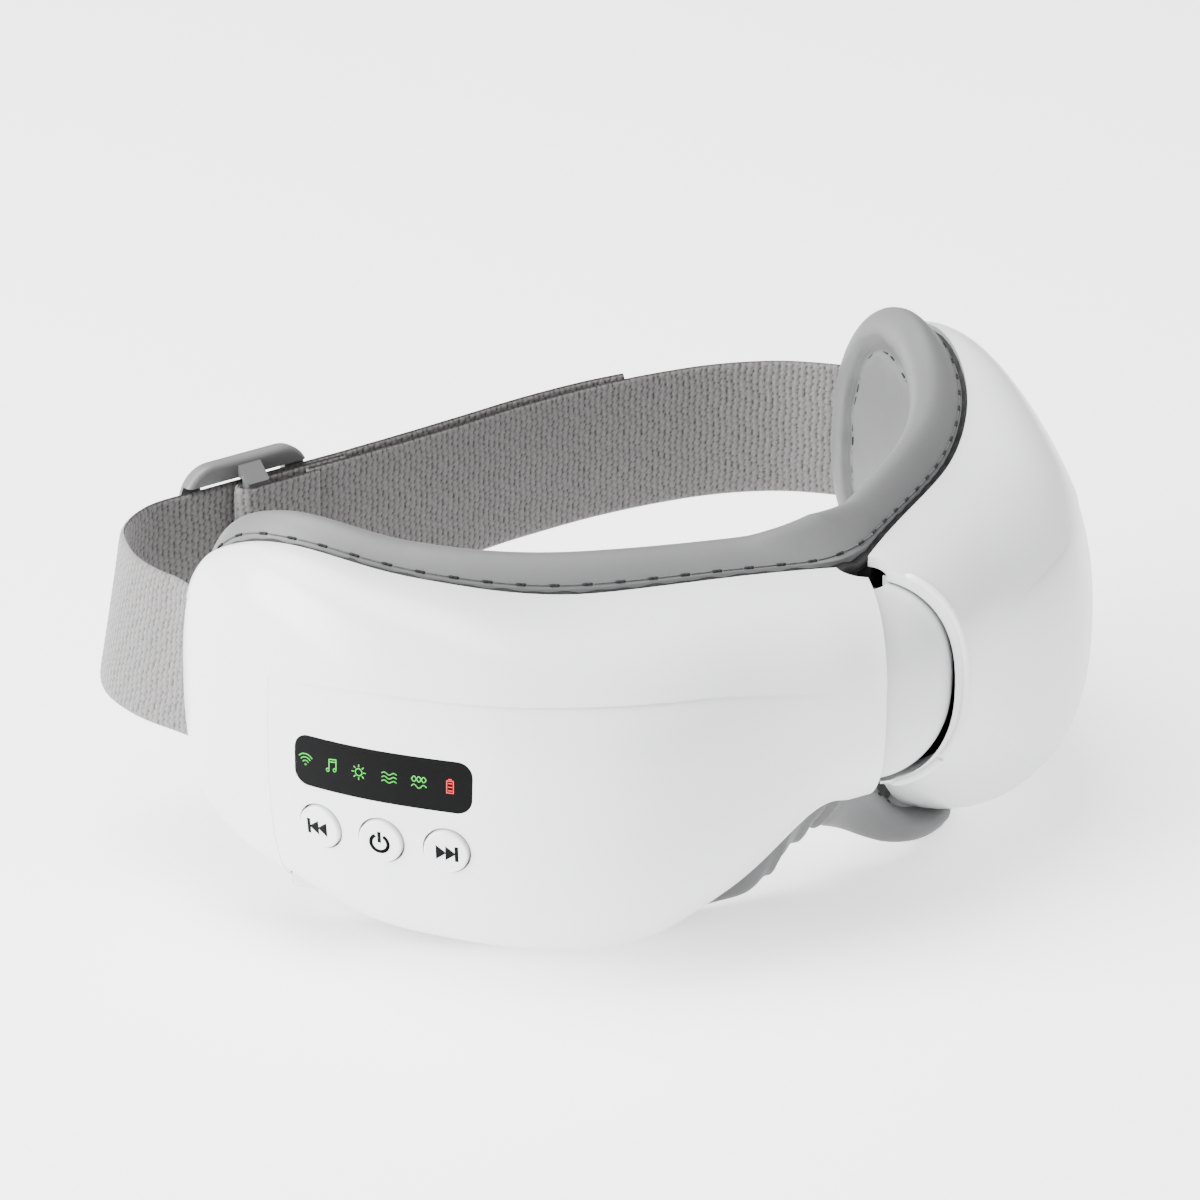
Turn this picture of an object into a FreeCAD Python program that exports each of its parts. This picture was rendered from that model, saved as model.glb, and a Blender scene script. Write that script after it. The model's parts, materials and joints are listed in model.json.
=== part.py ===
# Foldable eye massager mask: two mirrored halves on a vertical centre hinge, padded face side,
# press buttons and lit display on the wearer's right half, elastic head strap with a slider.
# Millimetres. +Z up, the front of the mask faces -Y, the face side and strap +Y.
# Each half is built as the +X half and mirrored where the -X half is wanted.
import FreeCAD, Part
import math
import os

os.makedirs("parts", exist_ok=True)

Vector = FreeCAD.Vector

# ---------------------------------------------------------------- driving dimensions
HALF_LENGTH = 118.0          # length of one half along its rim, hinge to temple tip
RIM_ANGLES = (30.4, 35.9, 103.2)   # rim direction at hinge, middle and temple tip, degrees
STATIONS = (0, 10, 20, 45, 75, 100, 118)  # places along the rim where the outline is given
SHELL_TOP = (60.8, 61.1, 61.2, 60.9, 64.8, 70.2, 71.0)
SHELL_BOTTOM = (22.5, 20.2, 11.3, 0.4, 3.8, 10.4, 10.4)
SHELL_DEPTH = (17.5, 19.1, 20.8, 25.1, 19.2, 15.9, 15.9)
TIP_HEIGHT = 41.3            # height the temple tip closes at, also the strap's middle
UPPER_SQUARENESS = 2.53      # section exponents: 2 is an ellipse, larger is boxier
LOWER_SQUARENESS = 2.2
WALL = 1.8

UPPER_STEP = ((0, 46.7), (16, 48.2), (34, 50.2), (61, 50.9), (76, 51.0), (98, 49.5))
LOWER_STEP = ((0, 30.0), (10.5, 30.8), (18, 27.6), (28.5, 19.8), (36, 13.6), (42, 12.0),
              (48, 11.9), (61, 13.6), (75, 14.2), (85, 15.5), (98, 22.9))
STEP_DEPTH = 0.3             # each styling line lowers the face below it by this much

PAD_TOP = (66.6, 65.8, 65.2, 65.6, 68.2, 74.8, 78.0)
PAD_BOTTOM = (11.8, 5.0, 0.2, -0.4, 0.3, 9.0, 14.0)
PAD_DEPTH = (0.5, 3.6, 6.4, 7.0, 7.4, 7.4, 6.5)
PAD_START = 8.5              # soft pads begin this far from the hinge
PAD_OVERHANG = 1.6           # pads reach past the temple tip by this much
PAD_FRONT = 3.05             # pads start this far behind the rim
BOLSTER = 11.0               # width of the soft bolster round the eye pad

HINGE_PIN_RADIUS = 1.5
KNUCKLE_RADIUS = 3.6
PIN_CLEARANCE = 0.05
AXIS_RELIEF = 4.2            # everything but the hinge parts keeps out of this radius
CLOSE_ANGLE = 40.0           # folds this far towards the face

STRAP_WIDTH = 25.0
STRAP_THICKNESS = 1.2
STRAP_LOW = TIP_HEIGHT - STRAP_WIDTH / 2
SLIDER_LENGTH = 26.0
SLIDER_HEIGHT = 33.0
SLIDER_PLACE = (-38.0, 108.75)
SLIDER_TURN = -4.2           # the strap's straight stretch runs at this angle to X, degrees
SLIDER_TRAVEL = 8.0
LAYER_STEP = 2.7             # from the adjustable layer of the strap to the sewn layer
TAIL_END = 44.0

FLOOR = 0.5                  # undersides are flattened at this height before the final move

BUTTON_DIAMETER = 7.4
BUTTON_GAP = 0.35
BUTTON_TRAVEL = 0.6
BUTTON_HEIGHT = 26.0
BUTTON_PLACES = (("button_previous", 85.2), ("button_power", 76.8), ("button_next", 68.4))

DISPLAY_ENDS = (65.2, 88.7)
DISPLAY_LOW = 32.9
DISPLAY_HIGH = 41.7
LENS_THICKNESS = 1.6
LIGHT_CELLS = 6


# ---------------------------------------------------------------- curves and placing
def smooth_slopes(heights, places):
    """Slopes at the stations that keep the curve between them free of overshoot."""
    gaps = [places[i + 1] - places[i] for i in range(len(places) - 1)]
    rises = [(heights[i + 1] - heights[i]) / gaps[i] for i in range(len(gaps))]
    slopes = [rises[0]] + [0.0] * (len(gaps) - 1) + [0.0]
    for i in range(1, len(gaps)):
        if rises[i - 1] * rises[i] > 0:
            first = 2 * gaps[i] + gaps[i - 1]
            second = gaps[i] + 2 * gaps[i - 1]
            slopes[i] = (first + second) / (first / rises[i - 1] + second / rises[i])
    return gaps, slopes


def along(heights, s, places=STATIONS):
    """Value of a station list at rim distance s."""
    gaps, slopes = smooth_slopes(heights, places)
    s = min(max(s, places[0]), places[-1])
    i = 0
    while i < len(gaps) - 1 and s > places[i + 1]:
        i += 1
    u = (s - places[i]) / gaps[i]
    start = heights[i] * (1 + 2 * u) * (1 - u) ** 2
    start += gaps[i] * slopes[i] * u * (1 - u) ** 2
    end = heights[i + 1] * u * u * (3 - 2 * u)
    end += gaps[i] * slopes[i + 1] * u * u * (u - 1)
    return start + end


def rim_angle(s):
    """Direction of the rim at distance s from the hinge, radians from +X."""
    u = s / HALF_LENGTH
    first, middle, last = RIM_ANGLES
    bend = 2 * first - 4 * middle + 2 * last
    turn = -3 * first + 4 * middle - last
    return math.radians(first + turn * u + bend * u * u)


def rim_place(s):
    steps = max(4, int(abs(s) * 2))
    x = 0.0
    y = 0.0
    for i in range(steps):
        angle = rim_angle((i + 0.5) * s / steps)
        x += math.cos(angle) * s / steps
        y += math.sin(angle) * s / steps
    return x, y


def at(s, out, z):
    """Point at rim distance s, the given distance in front of the rim, height z."""
    x, y = rim_place(s)
    angle = rim_angle(s)
    return Vector(x + out * math.sin(angle), y - out * math.cos(angle), z)


def fall(s, start, end, power):
    """One up to start, falling round to zero at end."""
    t = (s - start) / (end - start)
    if t <= 0:
        return 1.0
    if t >= 1:
        return 0.0
    return (1 - t ** power) ** (1 / power)


def floor_flat(shape):
    """Take off whatever dips below the resting height."""
    return shape.cut(Part.makeBox(400, 400, 20, Vector(-200, -200, FLOOR - 20)))


def mirrored(shape):
    return shape.mirror(Vector(0, 0, 0), Vector(1, 0, 0))


def on_rim(shape, s, out, z):
    """Place a shape drawn with x along the rim, y towards the face, z up."""
    placed = shape.copy()
    turn = FreeCAD.Rotation(Vector(0, 0, 1), math.degrees(rim_angle(s)))
    placed.Placement = FreeCAD.Placement(at(s, out, z), turn).multiply(placed.Placement)
    return placed


def block(length, depth, height):
    return Part.makeBox(length, depth, height, Vector(-length / 2, -depth / 2, -height / 2))


def disc(radius, depth):
    """Disc with its axis along y, centred."""
    return Part.makeCylinder(radius, depth, Vector(0, -depth / 2, 0), Vector(0, 1, 0))


# ---------------------------------------------------------------- the curved bodies
def closed_solid(rows):
    """Solid through closed rings of points: flat at the first ring, a point at the last."""
    tip = rows[-1][len(rows[-1]) // 2]
    surface = Part.BSplineSurface()
    surface.interpolate(rows[:-1] + [[tip] * len(rows[-1])])
    skin = surface.toShape()
    rings = [e for e in skin.Edges if e.isClosed() and e.Length > 10]
    cap = Part.Face(Part.Wire([rings[0]]))
    both = Part.makeCompound([skin, cap])
    both.sewShape()
    solid = Part.Solid(both.Shells[0])
    if solid.Volume < 0:
        solid.reverse()
    return solid


def ring_angles(count):
    """Angles round a section starting and ending in the middle of its back."""
    return [math.pi + 2 * math.pi * j / count for j in range(count + 1)]


def rounded(value, squareness):
    return math.copysign(abs(value) ** (2 / squareness), value)


def long_stations(start, end):
    """Rim distances for the rings: even along the face, closing up towards the tip."""
    even = [start + (70.0 - start) * i / 9 for i in range(10)]
    closing = [70.0 + (end - 70.0) * math.sin(math.radians(10 * i)) ** 0.692
               for i in range(1, 10)]
    return even + [(70.0 + closing[0]) / 2] + closing


def shell_size(s, inset):
    """Top, bottom and depth of the hard outline at s, moved inwards by inset."""
    end = HALF_LENGTH - inset
    close = fall(s, 70.0, end, 2.89)
    top = TIP_HEIGHT + (along(SHELL_TOP, s) - TIP_HEIGHT - inset) * close
    bottom = TIP_HEIGHT - (TIP_HEIGHT - along(SHELL_BOTTOM, s) - inset) * close
    depth = (along(SHELL_DEPTH, s) - inset) * fall(s, 61.0, end, 1.42) + 0.5
    return top, bottom, depth, close


def faded(inset, s):
    """The inset, dying away before the temple tip."""
    t = min(max((s - 80.0) / 16.0, 0.0), 1.0)
    return inset + (0.04 - inset) * t * t * (3 - 2 * t)


def shell_body(inset, start=0.0, back=8.0, fading=False):
    """Solid with the hard outline: its front is the shell's face, its back a plain bulge."""
    rows = []
    end = HALF_LENGTH - (0.04 if fading else inset)
    for s in long_stations(start, end):
        here = faded(inset, s) if fading else inset
        top, bottom, depth, close = shell_size(max(s, 0.0), here)
        middle = (top + bottom) / 2
        half = (top - bottom) / 2
        row = []
        for angle in ring_angles(32):
            across = math.cos(angle)
            upright = math.sin(angle)
            square = UPPER_SQUARENESS if upright > 0 else LOWER_SQUARENESS
            out = rounded(across, square)
            out = out * (depth if across > 0 else back * close)
            row.append(at(s, out, middle + half * rounded(upright, square)))
        rows.append(row)
    return closed_solid(rows)


def band(out_low, out_high, start, end):
    """Upright slab following the rim between two distances in front of it."""
    places = [start + (end - start) * i / 24 for i in range(25)]
    sides = []
    for out in (out_low, out_high):
        curve = Part.BSplineCurve()
        curve.interpolate([at(s, out, -6.0) for s in places])
        sides.append(curve.toShape())
    first = Part.makeLine(at(start, out_low, -6.0), at(start, out_high, -6.0))
    last = Part.makeLine(at(end, out_low, -6.0), at(end, out_high, -6.0))
    outline = Part.Wire(Part.__sortEdges__([sides[0], last, sides[1], first]))
    return Part.Face(outline).extrude(Vector(0, 0, 92))


def sheet_stations(start, end):
    even = [start + (70.0 - start) * i / 14 for i in range(14)]
    return even + [70.0 + (end - 70.0) * math.sin(math.radians(7.5 * i)) ** 0.8
                   for i in range(13)]


def curved_sheet(heights_at, out_low, out_high, start, end):
    """Sheet following the rim between two distances from it; heights_at gives its low and top."""
    wires = []
    for s in sheet_stations(start, end):
        low, top = heights_at(s)
        corners = [at(s, out_low, low), at(s, out_high, low), at(s, out_high, top),
                   at(s, out_low, top)]
        wires.append(Part.makePolygon(corners + [corners[0]]))
    return Part.makeLoft(wires, True, False)


def below_line(line):
    """Everything in front of the rim that lies below a styling line on the face."""
    places = [point[0] for point in line]
    heights = [point[1] for point in line]
    wires = []
    for i in range(33):
        s = -3.0 + 96.0 * i / 32
        z = along(heights, s, places)
        corners = [at(s, -1.0, -8.0), at(s, 45.0, -8.0), at(s, 45.0, z), at(s, -1.0, z)]
        wires.append(Part.makePolygon(corners + [corners[0]]))
    return Part.makeLoft(wires, True, False)


def shell_heights(inset):
    def heights(s):
        top, bottom, _depth, _close = shell_size(s, inset)
        return bottom, top
    return heights


def pad_size(s, inset):
    """Top and bottom of the soft outline at s, moved inwards, and how far it has closed."""
    close = fall(s, 70.0, HALF_LENGTH + PAD_OVERHANG - inset, 2.6)
    top = TIP_HEIGHT + (along(PAD_TOP, s) - TIP_HEIGHT - inset) * close
    bottom = TIP_HEIGHT - (TIP_HEIGHT - along(PAD_BOTTOM, s) - inset) * close
    return top, bottom


def pad_heights(inset):
    def heights(s):
        top, bottom = pad_size(s, inset)
        return bottom, top
    return heights


def axis_relief(radius):
    return Part.makeCylinder(radius, 92, Vector(0, 0, -6))


def face_out(s, z):
    """How far the shell's face stands in front of the rim at distance s and height z."""
    top, bottom, depth, _close = shell_size(s, 0.0)
    share = (z - (top + bottom) / 2) / ((top - bottom) / 2)
    square = UPPER_SQUARENESS if share > 0 else LOWER_SQUARENESS
    return depth * max(0.0, 1 - abs(share) ** square) ** (1 / square)


def face_frame(s, z):
    """Placement on the face's middle field: x away from the hinge, y up the face, z outwards."""
    here = at(s, face_out(s, z), z)
    ahead = at(s + 0.5, face_out(s + 0.5, z), z) - at(s - 0.5, face_out(s - 0.5, z), z)
    above = at(s, face_out(s, z + 0.5), z + 0.5) - at(s, face_out(s, z - 0.5), z - 0.5)
    x_axis = ahead.normalize()
    z_axis = x_axis.cross(above).normalize()
    y_axis = z_axis.cross(x_axis)
    here = here - z_axis * STEP_DEPTH
    return FreeCAD.Placement(here, FreeCAD.Rotation(x_axis, y_axis, z_axis, "ZXY"))


def on_face(shape, frame):
    placed = shape.copy()
    placed.Placement = frame.multiply(placed.Placement)
    return placed


def rounded_plate(length, width, corner, low, high):
    """Rectangle with round corners in the xy plane, from height low to high."""
    plate = Part.makeBox(length, width, high - low, Vector(-length / 2, -width / 2, low))
    uprights = [e for e in plate.Edges if abs(e.Vertexes[0].Z - e.Vertexes[-1].Z) > 1e-6]
    return plate.makeFillet(corner, uprights)


# ---------------------------------------------------------------- hard shells and frames
SCREW_PLACES = ((27.0, 55.5), (63.0, 57.0), (98.0, 31.0), (33.0, 10.5))


def screw_tool(radius, low, high):
    tools = []
    for s, z in SCREW_PLACES:
        rod = Part.makeCylinder(radius, high - low, Vector(0, -high, 0), Vector(0, 1, 0))
        tools.append(on_rim(rod, s, 0.0, z))
    return tools


def front_shell():
    outer = shell_body(0.0)
    inner = shell_body(WALL, start=-2.0)
    front = band(0.0, 45.0, -3.0, HALF_LENGTH + 3.0)
    shell = outer.common(front).cut(inner)
    for line, steps in ((UPPER_STEP, 1), (LOWER_STEP, 2)):
        lowered = shell_body(STEP_DEPTH * steps, start=-2.0, fading=True)
        shell = shell.cut(below_line(line).cut(lowered))
    posts = Part.makeCompound(screw_tool(2.6, 0.3, 40.0)).common(inner)
    shell = shell.fuse(list(posts.Solids))
    for pilot in screw_tool(1.1, 0.0, 6.4):
        shell = shell.cut(pilot)
    slot_low = STRAP_LOW - 0.4
    slot = band(0.3, 3.1, 104.0, HALF_LENGTH + 3.0)
    gate = Part.makeBox(300, 300, STRAP_WIDTH + 0.8, Vector(-150, -150, slot_low))
    shell = shell.cut(slot.common(gate))
    return shell.cut(axis_relief(AXIS_RELIEF))


def knuckles(spans):
    """Hinge barrels on the axis with the web that ties each one to its frame."""
    parts = []
    for low, high in spans:
        barrel = Part.makeCylinder(KNUCKLE_RADIUS, high - low, Vector(0, 0, low))
        web = Part.makeBox(300, 300, high - low, Vector(-150, -150, low))
        parts.append(barrel)
        parts.append(band(-2.2, -0.2, 0.0, 9.0).common(web))
    return parts


def back_frame(spans):
    frame = curved_sheet(shell_heights(WALL + 0.15), -2.2, -0.05, 6.0, HALF_LENGTH - 3.0)
    frame = frame.cut(curved_sheet(shell_heights(25.0), -3.0, 1.2, 36.0, 88.0))
    frame = frame.fuse(knuckles(spans))
    bore = Part.makeCylinder(HINGE_PIN_RADIUS + PIN_CLEARANCE, 92, Vector(0, 0, -6))
    frame = frame.cut(bore)
    for hole in screw_tool(1.1, -3.0, 1.0):
        frame = frame.cut(hole)
    for pocket in screw_tool(2.1, -3.0, -1.2):
        frame = frame.cut(pocket)
    return frame


def frame_screws():
    shafts = screw_tool(1.1, -1.2, 6.0)
    heads = screw_tool(2.0, -2.2, -1.2)
    return Part.makeCompound([shafts[i].fuse(heads[i]) for i in range(len(shafts))])


def seam_strip():
    """Gathered strip of cover fabric round the frame, between shell and bolster."""
    whole = curved_sheet(shell_heights(0.7), -3.0, -0.1, 6.0, HALF_LENGTH - 1.4)
    return whole.cut(curved_sheet(shell_heights(WALL - 0.05), -4.0, 1.2, 4.0, HALF_LENGTH - 2.4))


# ---------------------------------------------------------------- soft parts
def pad_body(inset, front, back_extra):
    """Rounded pad behind the rim: inset narrows it, back_extra pushes its back face out."""
    rows = []
    end = HALF_LENGTH + PAD_OVERHANG - inset
    for s in long_stations(PAD_START + inset * 1.4, end):
        top, bottom = pad_size(s, inset)
        deep = (along(PAD_DEPTH, s) + back_extra) * fall(s, 70.0, end, 1.8)
        middle = (top + bottom) / 2
        half = (top - bottom) / 2
        centre = -(front + deep / 2)
        row = []
        for angle in ring_angles(32):
            out = centre + deep / 2 * rounded(math.cos(angle), 2.3)
            row.append(at(s, out, middle + half * rounded(math.sin(angle), 2.3)))
        rows.append(row)
    return closed_solid(rows)


def cushion_ring():
    """Soft bolster with a hollow for the eye pad."""
    ring = pad_body(0.0, 2.4, 0.6)
    ring = ring.cut(curved_sheet(pad_heights(BOLSTER), -14.0, -1.0, 26.0, HALF_LENGTH - 11.5))
    ring = ring.common(band(-22.0, -PAD_FRONT, 2.0, HALF_LENGTH + 4.0))
    return ring


def stacked(inset, low, high):
    """Sheet of the layers under the eye pad, inside the bolster's hollow."""
    return curved_sheet(pad_heights(inset), -high, -low, 29.0, HALF_LENGTH - 13.0)


def massage_nodes():
    """Small round knobs that press through the eye pad."""
    knobs = []
    for s, z in ((48, 26), (48, 46), (60, 36), (72, 26), (72, 48), (84, 36)):
        knobs.append(on_rim(disc(3.5, 1.2), s, -5.95, z))
    return Part.makeCompound(knobs)


def bridge_pad():
    """Soft filling between the two bolsters behind the hinge."""
    beside = PAD_START - 0.4
    right = [at(beside, -3.2, 12.5), at(beside, -7.0, 12.5)]
    left = [Vector(-p.x, p.y, p.z) for p in reversed(right)]
    outline = Part.makePolygon([Vector(0, 5.4, 12.5)] + right + left + [Vector(0, 5.4, 12.5)])
    return Part.Face(outline).extrude(Vector(0, 0, 53.5))


# ---------------------------------------------------------------- hinge
def sector(start, end, radius, low, high):
    wedge = Part.makeCylinder(radius, high - low, Vector(0, 0, low), Vector(0, 0, 1), end - start)
    wedge.rotate(Vector(0, 0, 0), Vector(0, 0, 1), start)
    return wedge


def drum_body(inset):
    """Body of revolution with the hinge end's profile, moved inwards by inset."""
    top = SHELL_TOP[0] - inset
    bottom = SHELL_BOTTOM[0] + inset
    radius = SHELL_DEPTH[0] - inset
    middle = (top + bottom) / 2
    half = (top - bottom) / 2
    points = []
    for i in range(25):
        angle = math.pi / 2 - math.pi * i / 24
        square = UPPER_SQUARENESS if angle > 0 else LOWER_SQUARENESS
        reach = radius * rounded(max(0.0, math.cos(angle)), square)
        points.append(Vector(reach, 0, middle + half * rounded(math.sin(angle), square)))
    points[0].x = 0.0
    points[-1].x = 0.0
    curve = Part.BSplineCurve()
    curve.interpolate(points)
    closing = Part.makeLine(points[-1], points[0])
    return Part.Face(Part.Wire([curve.toShape(), closing])).revolve(
        Vector(0, 0, 0), Vector(0, 0, 1), 360)


def hinge_drum():
    """Curved cover that fills the gap between the shells; it rides with the -X half."""
    low_side = -90 - math.degrees(rim_angle(0)) - 28.0
    high_side = -90 + math.degrees(rim_angle(0)) + CLOSE_ANGLE + 7.0
    cover = drum_body(WALL + 0.35).cut(drum_body(WALL + 1.95))
    cover = cover.common(sector(low_side, high_side, 40.0, 0.0, 80.0))
    tab = drum_body(WALL + 0.35).cut(drum_body(WALL + 3.5))
    tab = tab.common(sector(low_side, low_side + 6.0, 40.0, 30.0, 56.0))
    return cover.fuse(tab).cut(axis_relief(AXIS_RELIEF))


# ---------------------------------------------------------------- display and buttons
def display_frame():
    middle = (DISPLAY_ENDS[0] + DISPLAY_ENDS[1]) / 2
    return face_frame(middle, (DISPLAY_LOW + DISPLAY_HIGH) / 2)


def display_window(gap):
    """Window opening, drawn through the shell along the display's own direction."""
    first = at(DISPLAY_ENDS[0], face_out(DISPLAY_ENDS[0], DISPLAY_LOW), 0)
    last = at(DISPLAY_ENDS[1], face_out(DISPLAY_ENDS[1], DISPLAY_LOW), 0)
    length = first.distanceToPoint(last) + gap
    width = DISPLAY_HIGH - DISPLAY_LOW + gap
    return on_face(rounded_plate(length, width, 2.6, -7.5, 8.0), display_frame())


def display_lens():
    plug = display_window(-0.1).common(shell_body(STEP_DEPTH))
    return plug.cut(shell_body(LENS_THICKNESS, start=-2.0))


def light_guide():
    """Block behind the lens with one light well for each symbol."""
    frame = display_frame()
    body = on_face(rounded_plate(27.5, 7.0, 1.5, -5.0, 4.0), frame)
    body = body.common(shell_body(LENS_THICKNESS + 0.4))
    for i in range(LIGHT_CELLS):
        well = Part.makeCylinder(1.4, 12, Vector((i - 2.5) * 4.6, 0, -6))
        body = body.cut(on_face(well, frame))
    return body


def display_lights():
    frame = display_frame()
    chips = []
    for i in range(LIGHT_CELLS):
        chip = Part.makeBox(1.6, 1.6, 0.8, Vector((i - 2.5) * 4.6 - 0.8, -0.8, -6.0))
        chips.append(on_face(chip, frame))
    return Part.makeCompound(chips)


def display_board():
    return on_face(rounded_plate(31.0, 8.0, 0.8, -7.0, -6.0), display_frame())


def button_cap(s):
    frame = face_frame(s, BUTTON_HEIGHT)
    radius = BUTTON_DIAMETER / 2
    cap = Part.makeCylinder(radius, 3.9, Vector(0, 0, -3.2))
    rim = [e for e in cap.Edges if e.Length > 1 and abs(e.CenterOfMass.z - 0.7) < 1e-6]
    cap = cap.makeFillet(0.35, rim)
    cap = cap.fuse(Part.makeCylinder(radius + 0.9, 0.8, Vector(0, 0, -3.6)))
    cap = cap.fuse(Part.makeCylinder(1.5, 1.0, Vector(0, 0, -4.6)))
    return on_face(cap, frame)


def button_hole(s):
    bore = Part.makeCylinder(BUTTON_DIAMETER / 2 + BUTTON_GAP, 10, Vector(0, 0, -5))
    return on_face(bore, face_frame(s, BUTTON_HEIGHT))


def switch_solids():
    switches = []
    for _name, s in BUTTON_PLACES:
        frame = face_frame(s, BUTTON_HEIGHT)
        housing = Part.makeBox(4.5, 4.5, 1.6, Vector(-2.25, -2.25, -7.4))
        plunger = Part.makeCylinder(1.0, 0.5, Vector(0, 0, -5.8))
        switches.append(on_face(housing.fuse(plunger), frame))
    return switches


def button_board():
    board = on_face(rounded_plate(27.0, 6.5, 0.8, -8.4, -7.2), face_frame(76.8, BUTTON_HEIGHT))
    for switch in switch_solids():
        board = board.cut(switch)
    return board


# ---------------------------------------------------------------- things inside
def charging_port():
    body = rounded_plate(8.9, 3.2, 1.2, 0.0, 7.2)
    hollow = rounded_plate(8.1, 2.4, 1.0, -1.0, 6.0)
    tongue = Part.makeBox(6.6, 0.7, 6.2, Vector(-3.3, -0.35, 0.6))
    return body.cut(hollow).fuse(tongue)


PORT_PLACE = (88.0, 4.5, 11.2)


def air_pump():
    """Motor with its pump head and nozzle, lying along the rim."""
    motor = Part.makeCylinder(5.6, 18, Vector(-14, 0, 0), Vector(1, 0, 0))
    head = Part.makeCylinder(6.0, 6, Vector(4, 0, 0), Vector(1, 0, 0))
    nozzle = Part.makeCylinder(1.5, 4, Vector(10, 0, 0), Vector(1, 0, 0))
    return motor.fuse([head, nozzle])


def board_chips():
    chips = []
    for x, z, length, height, depth in ((-8, 4, 7, 7, 1.2), (5, 6, 5, 5, 1.0), (4, -7, 9, 4, 2.0)):
        chips.append(Part.makeBox(length, depth, height, Vector(x - length / 2, -0.6 - depth,
                                                                 z - height / 2)))
    return Part.makeCompound(chips)


def hinge_cable():
    """Wire and air line bundle looping round the hinge inside the drum."""
    points = []
    for i in range(9):
        angle = math.radians(-165 + 150 * i / 8)
        points.append(Vector(8.5 * math.cos(angle), 8.5 * math.sin(angle), 42.0))
    path = Part.BSplineCurve()
    path.interpolate(points)
    wire = Part.Wire([path.toShape()])
    start = path.tangent(path.FirstParameter)[0]
    ring = Part.Wire([Part.makeCircle(1.4, points[0], start)])
    return wire.makePipeShell([ring], True, True)


# ---------------------------------------------------------------- strap
def curve_through(points):
    curve = Part.BSplineCurve()
    curve.interpolate([Vector(x, y, 0) for x, y in points])
    return curve


def webbing(curve, first, last, side_low, side_high, low=STRAP_LOW, width=STRAP_WIDTH):
    """Upright ribbon along part of a plan curve, between two offsets from it."""
    edges = []
    ends = []
    for side in (side_low, side_high):
        points = []
        for i in range(33):
            t = curve.LastParameter * (first + (last - first) * i / 32)
            here = curve.value(t)
            ahead = curve.tangent(t)[0]
            points.append(Vector(here.x - side * ahead.y, here.y + side * ahead.x, low))
        rail = Part.BSplineCurve()
        rail.interpolate(points)
        edges.append(rail.toShape())
        ends.append((points[0], points[-1]))
    edges.append(Part.makeLine(ends[0][0], ends[1][0]))
    edges.append(Part.makeLine(ends[0][1], ends[1][1]))
    outline = Part.Wire(Part.__sortEdges__(edges))
    return Part.Face(outline).extrude(Vector(0, 0, width))


def straight_stretch(first, last, offset):
    """Plan points every few millimetres along the strap's straight stretch."""
    turn = math.radians(SLIDER_TURN)
    points = []
    for i in range(9):
        reach = first + (last - first) * i / 8
        points.append((SLIDER_PLACE[0] + reach * math.cos(turn) - offset * math.sin(turn),
                       SLIDER_PLACE[1] + reach * math.sin(turn) + offset * math.cos(turn)))
    return points


def left_path():
    """Plan of the strap from inside the -X temple, through the slider and past it."""
    start = at(108.0, 1.7, 0)
    leave = at(115.0, 1.7, 0)
    bend = [(-start.x, start.y), (-leave.x, leave.y), (-79.6, 88.0), (-77.2, 98.5),
            (-70.8, 106.6)]
    return bend + straight_stretch(-SLIDER_LENGTH / 2 - SLIDER_TRAVEL - 1.0,
                                   SLIDER_LENGTH / 2 + SLIDER_TRAVEL + 1.0, 0.0)


def right_path(offset):
    """Plan of the strap from beside the slider to inside the +X temple."""
    start = at(108.0, 1.7, 0)
    leave = at(115.0, 1.7, 0)
    wide = offset + LAYER_STEP
    first = straight_stretch(4.0, SLIDER_LENGTH / 2 + SLIDER_TRAVEL + 1.0, offset)
    return first + [(4.0, 103.6 + wide), (22.0, 103.2 + wide), (40.0, 101.2 + wide),
                    (57.0, 96.6 + wide * 0.7), (68.6, 89.6), (75.4, 81.5),
                    (leave.x, leave.y), (start.x, start.y)]


def in_slider(shape):
    """Place a shape drawn with x along the strap, y outwards and z up from its middle."""
    placed = shape.copy()
    x, y = SLIDER_PLACE
    here = FreeCAD.Placement(Vector(x, y, TIP_HEIGHT),
                             FreeCAD.Rotation(Vector(0, 0, 1), SLIDER_TURN))
    placed.Placement = here.multiply(placed.Placement)
    return placed


def slider_box(length, low, high, height, middle=0.0):
    return Part.makeBox(length, high - low, height,
                        Vector(middle - length / 2, low, -height / 2))


def strap_slider():
    """Three-bar slider on edge: a thin frame outside the strap, its centre bar inside it."""
    plate = rounded_plate(SLIDER_LENGTH, SLIDER_HEIGHT, 6.0, -0.9, 2.3)
    plate = plate.makeFillet(1.1, [e for e in plate.Edges if e.BoundBox.ZLength < 1e-6])
    plate.rotate(Vector(0, 0, 0), Vector(1, 0, 0), -90)
    plate = plate.mirror(Vector(0, 0, 0), Vector(0, 0, 1))
    inside = STRAP_WIDTH + 1.6
    plate = plate.cut(slider_box(40.0, -9.0, 1.0, inside))
    plate = plate.cut(slider_box(SLIDER_LENGTH - 8.4, -9.0, 9.0, inside))
    bar = slider_box(4.6, -3.7, 1.0, SLIDER_HEIGHT - 2.0)
    bar = bar.makeFillet(0.5, [e for e in bar.Edges if e.BoundBox.ZLength > 5])
    bar = bar.cut(slider_box(8.0, -2.1, 3.0, inside))
    return in_slider(plate.fuse(bar))


def strap_loop():
    """End of the sewn layer, folded round the slider's centre bar."""
    outer = slider_box(21.2, -1.9, -0.8, STRAP_WIDTH, 7.4)
    inner = slider_box(15.2, -5.0, -3.9, STRAP_WIDTH, 4.4)
    turn = slider_box(1.0, -5.0, -0.8, STRAP_WIDTH, -3.7)
    turn = turn.makeFillet(0.9, [e for e in turn.Edges if e.BoundBox.ZLength > 5
                                 and e.CenterOfMass.x < -4.0])
    return in_slider(outer.fuse([inner, turn]))


parts = {}


def add(name, shape):
    parts[name] = shape


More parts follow.
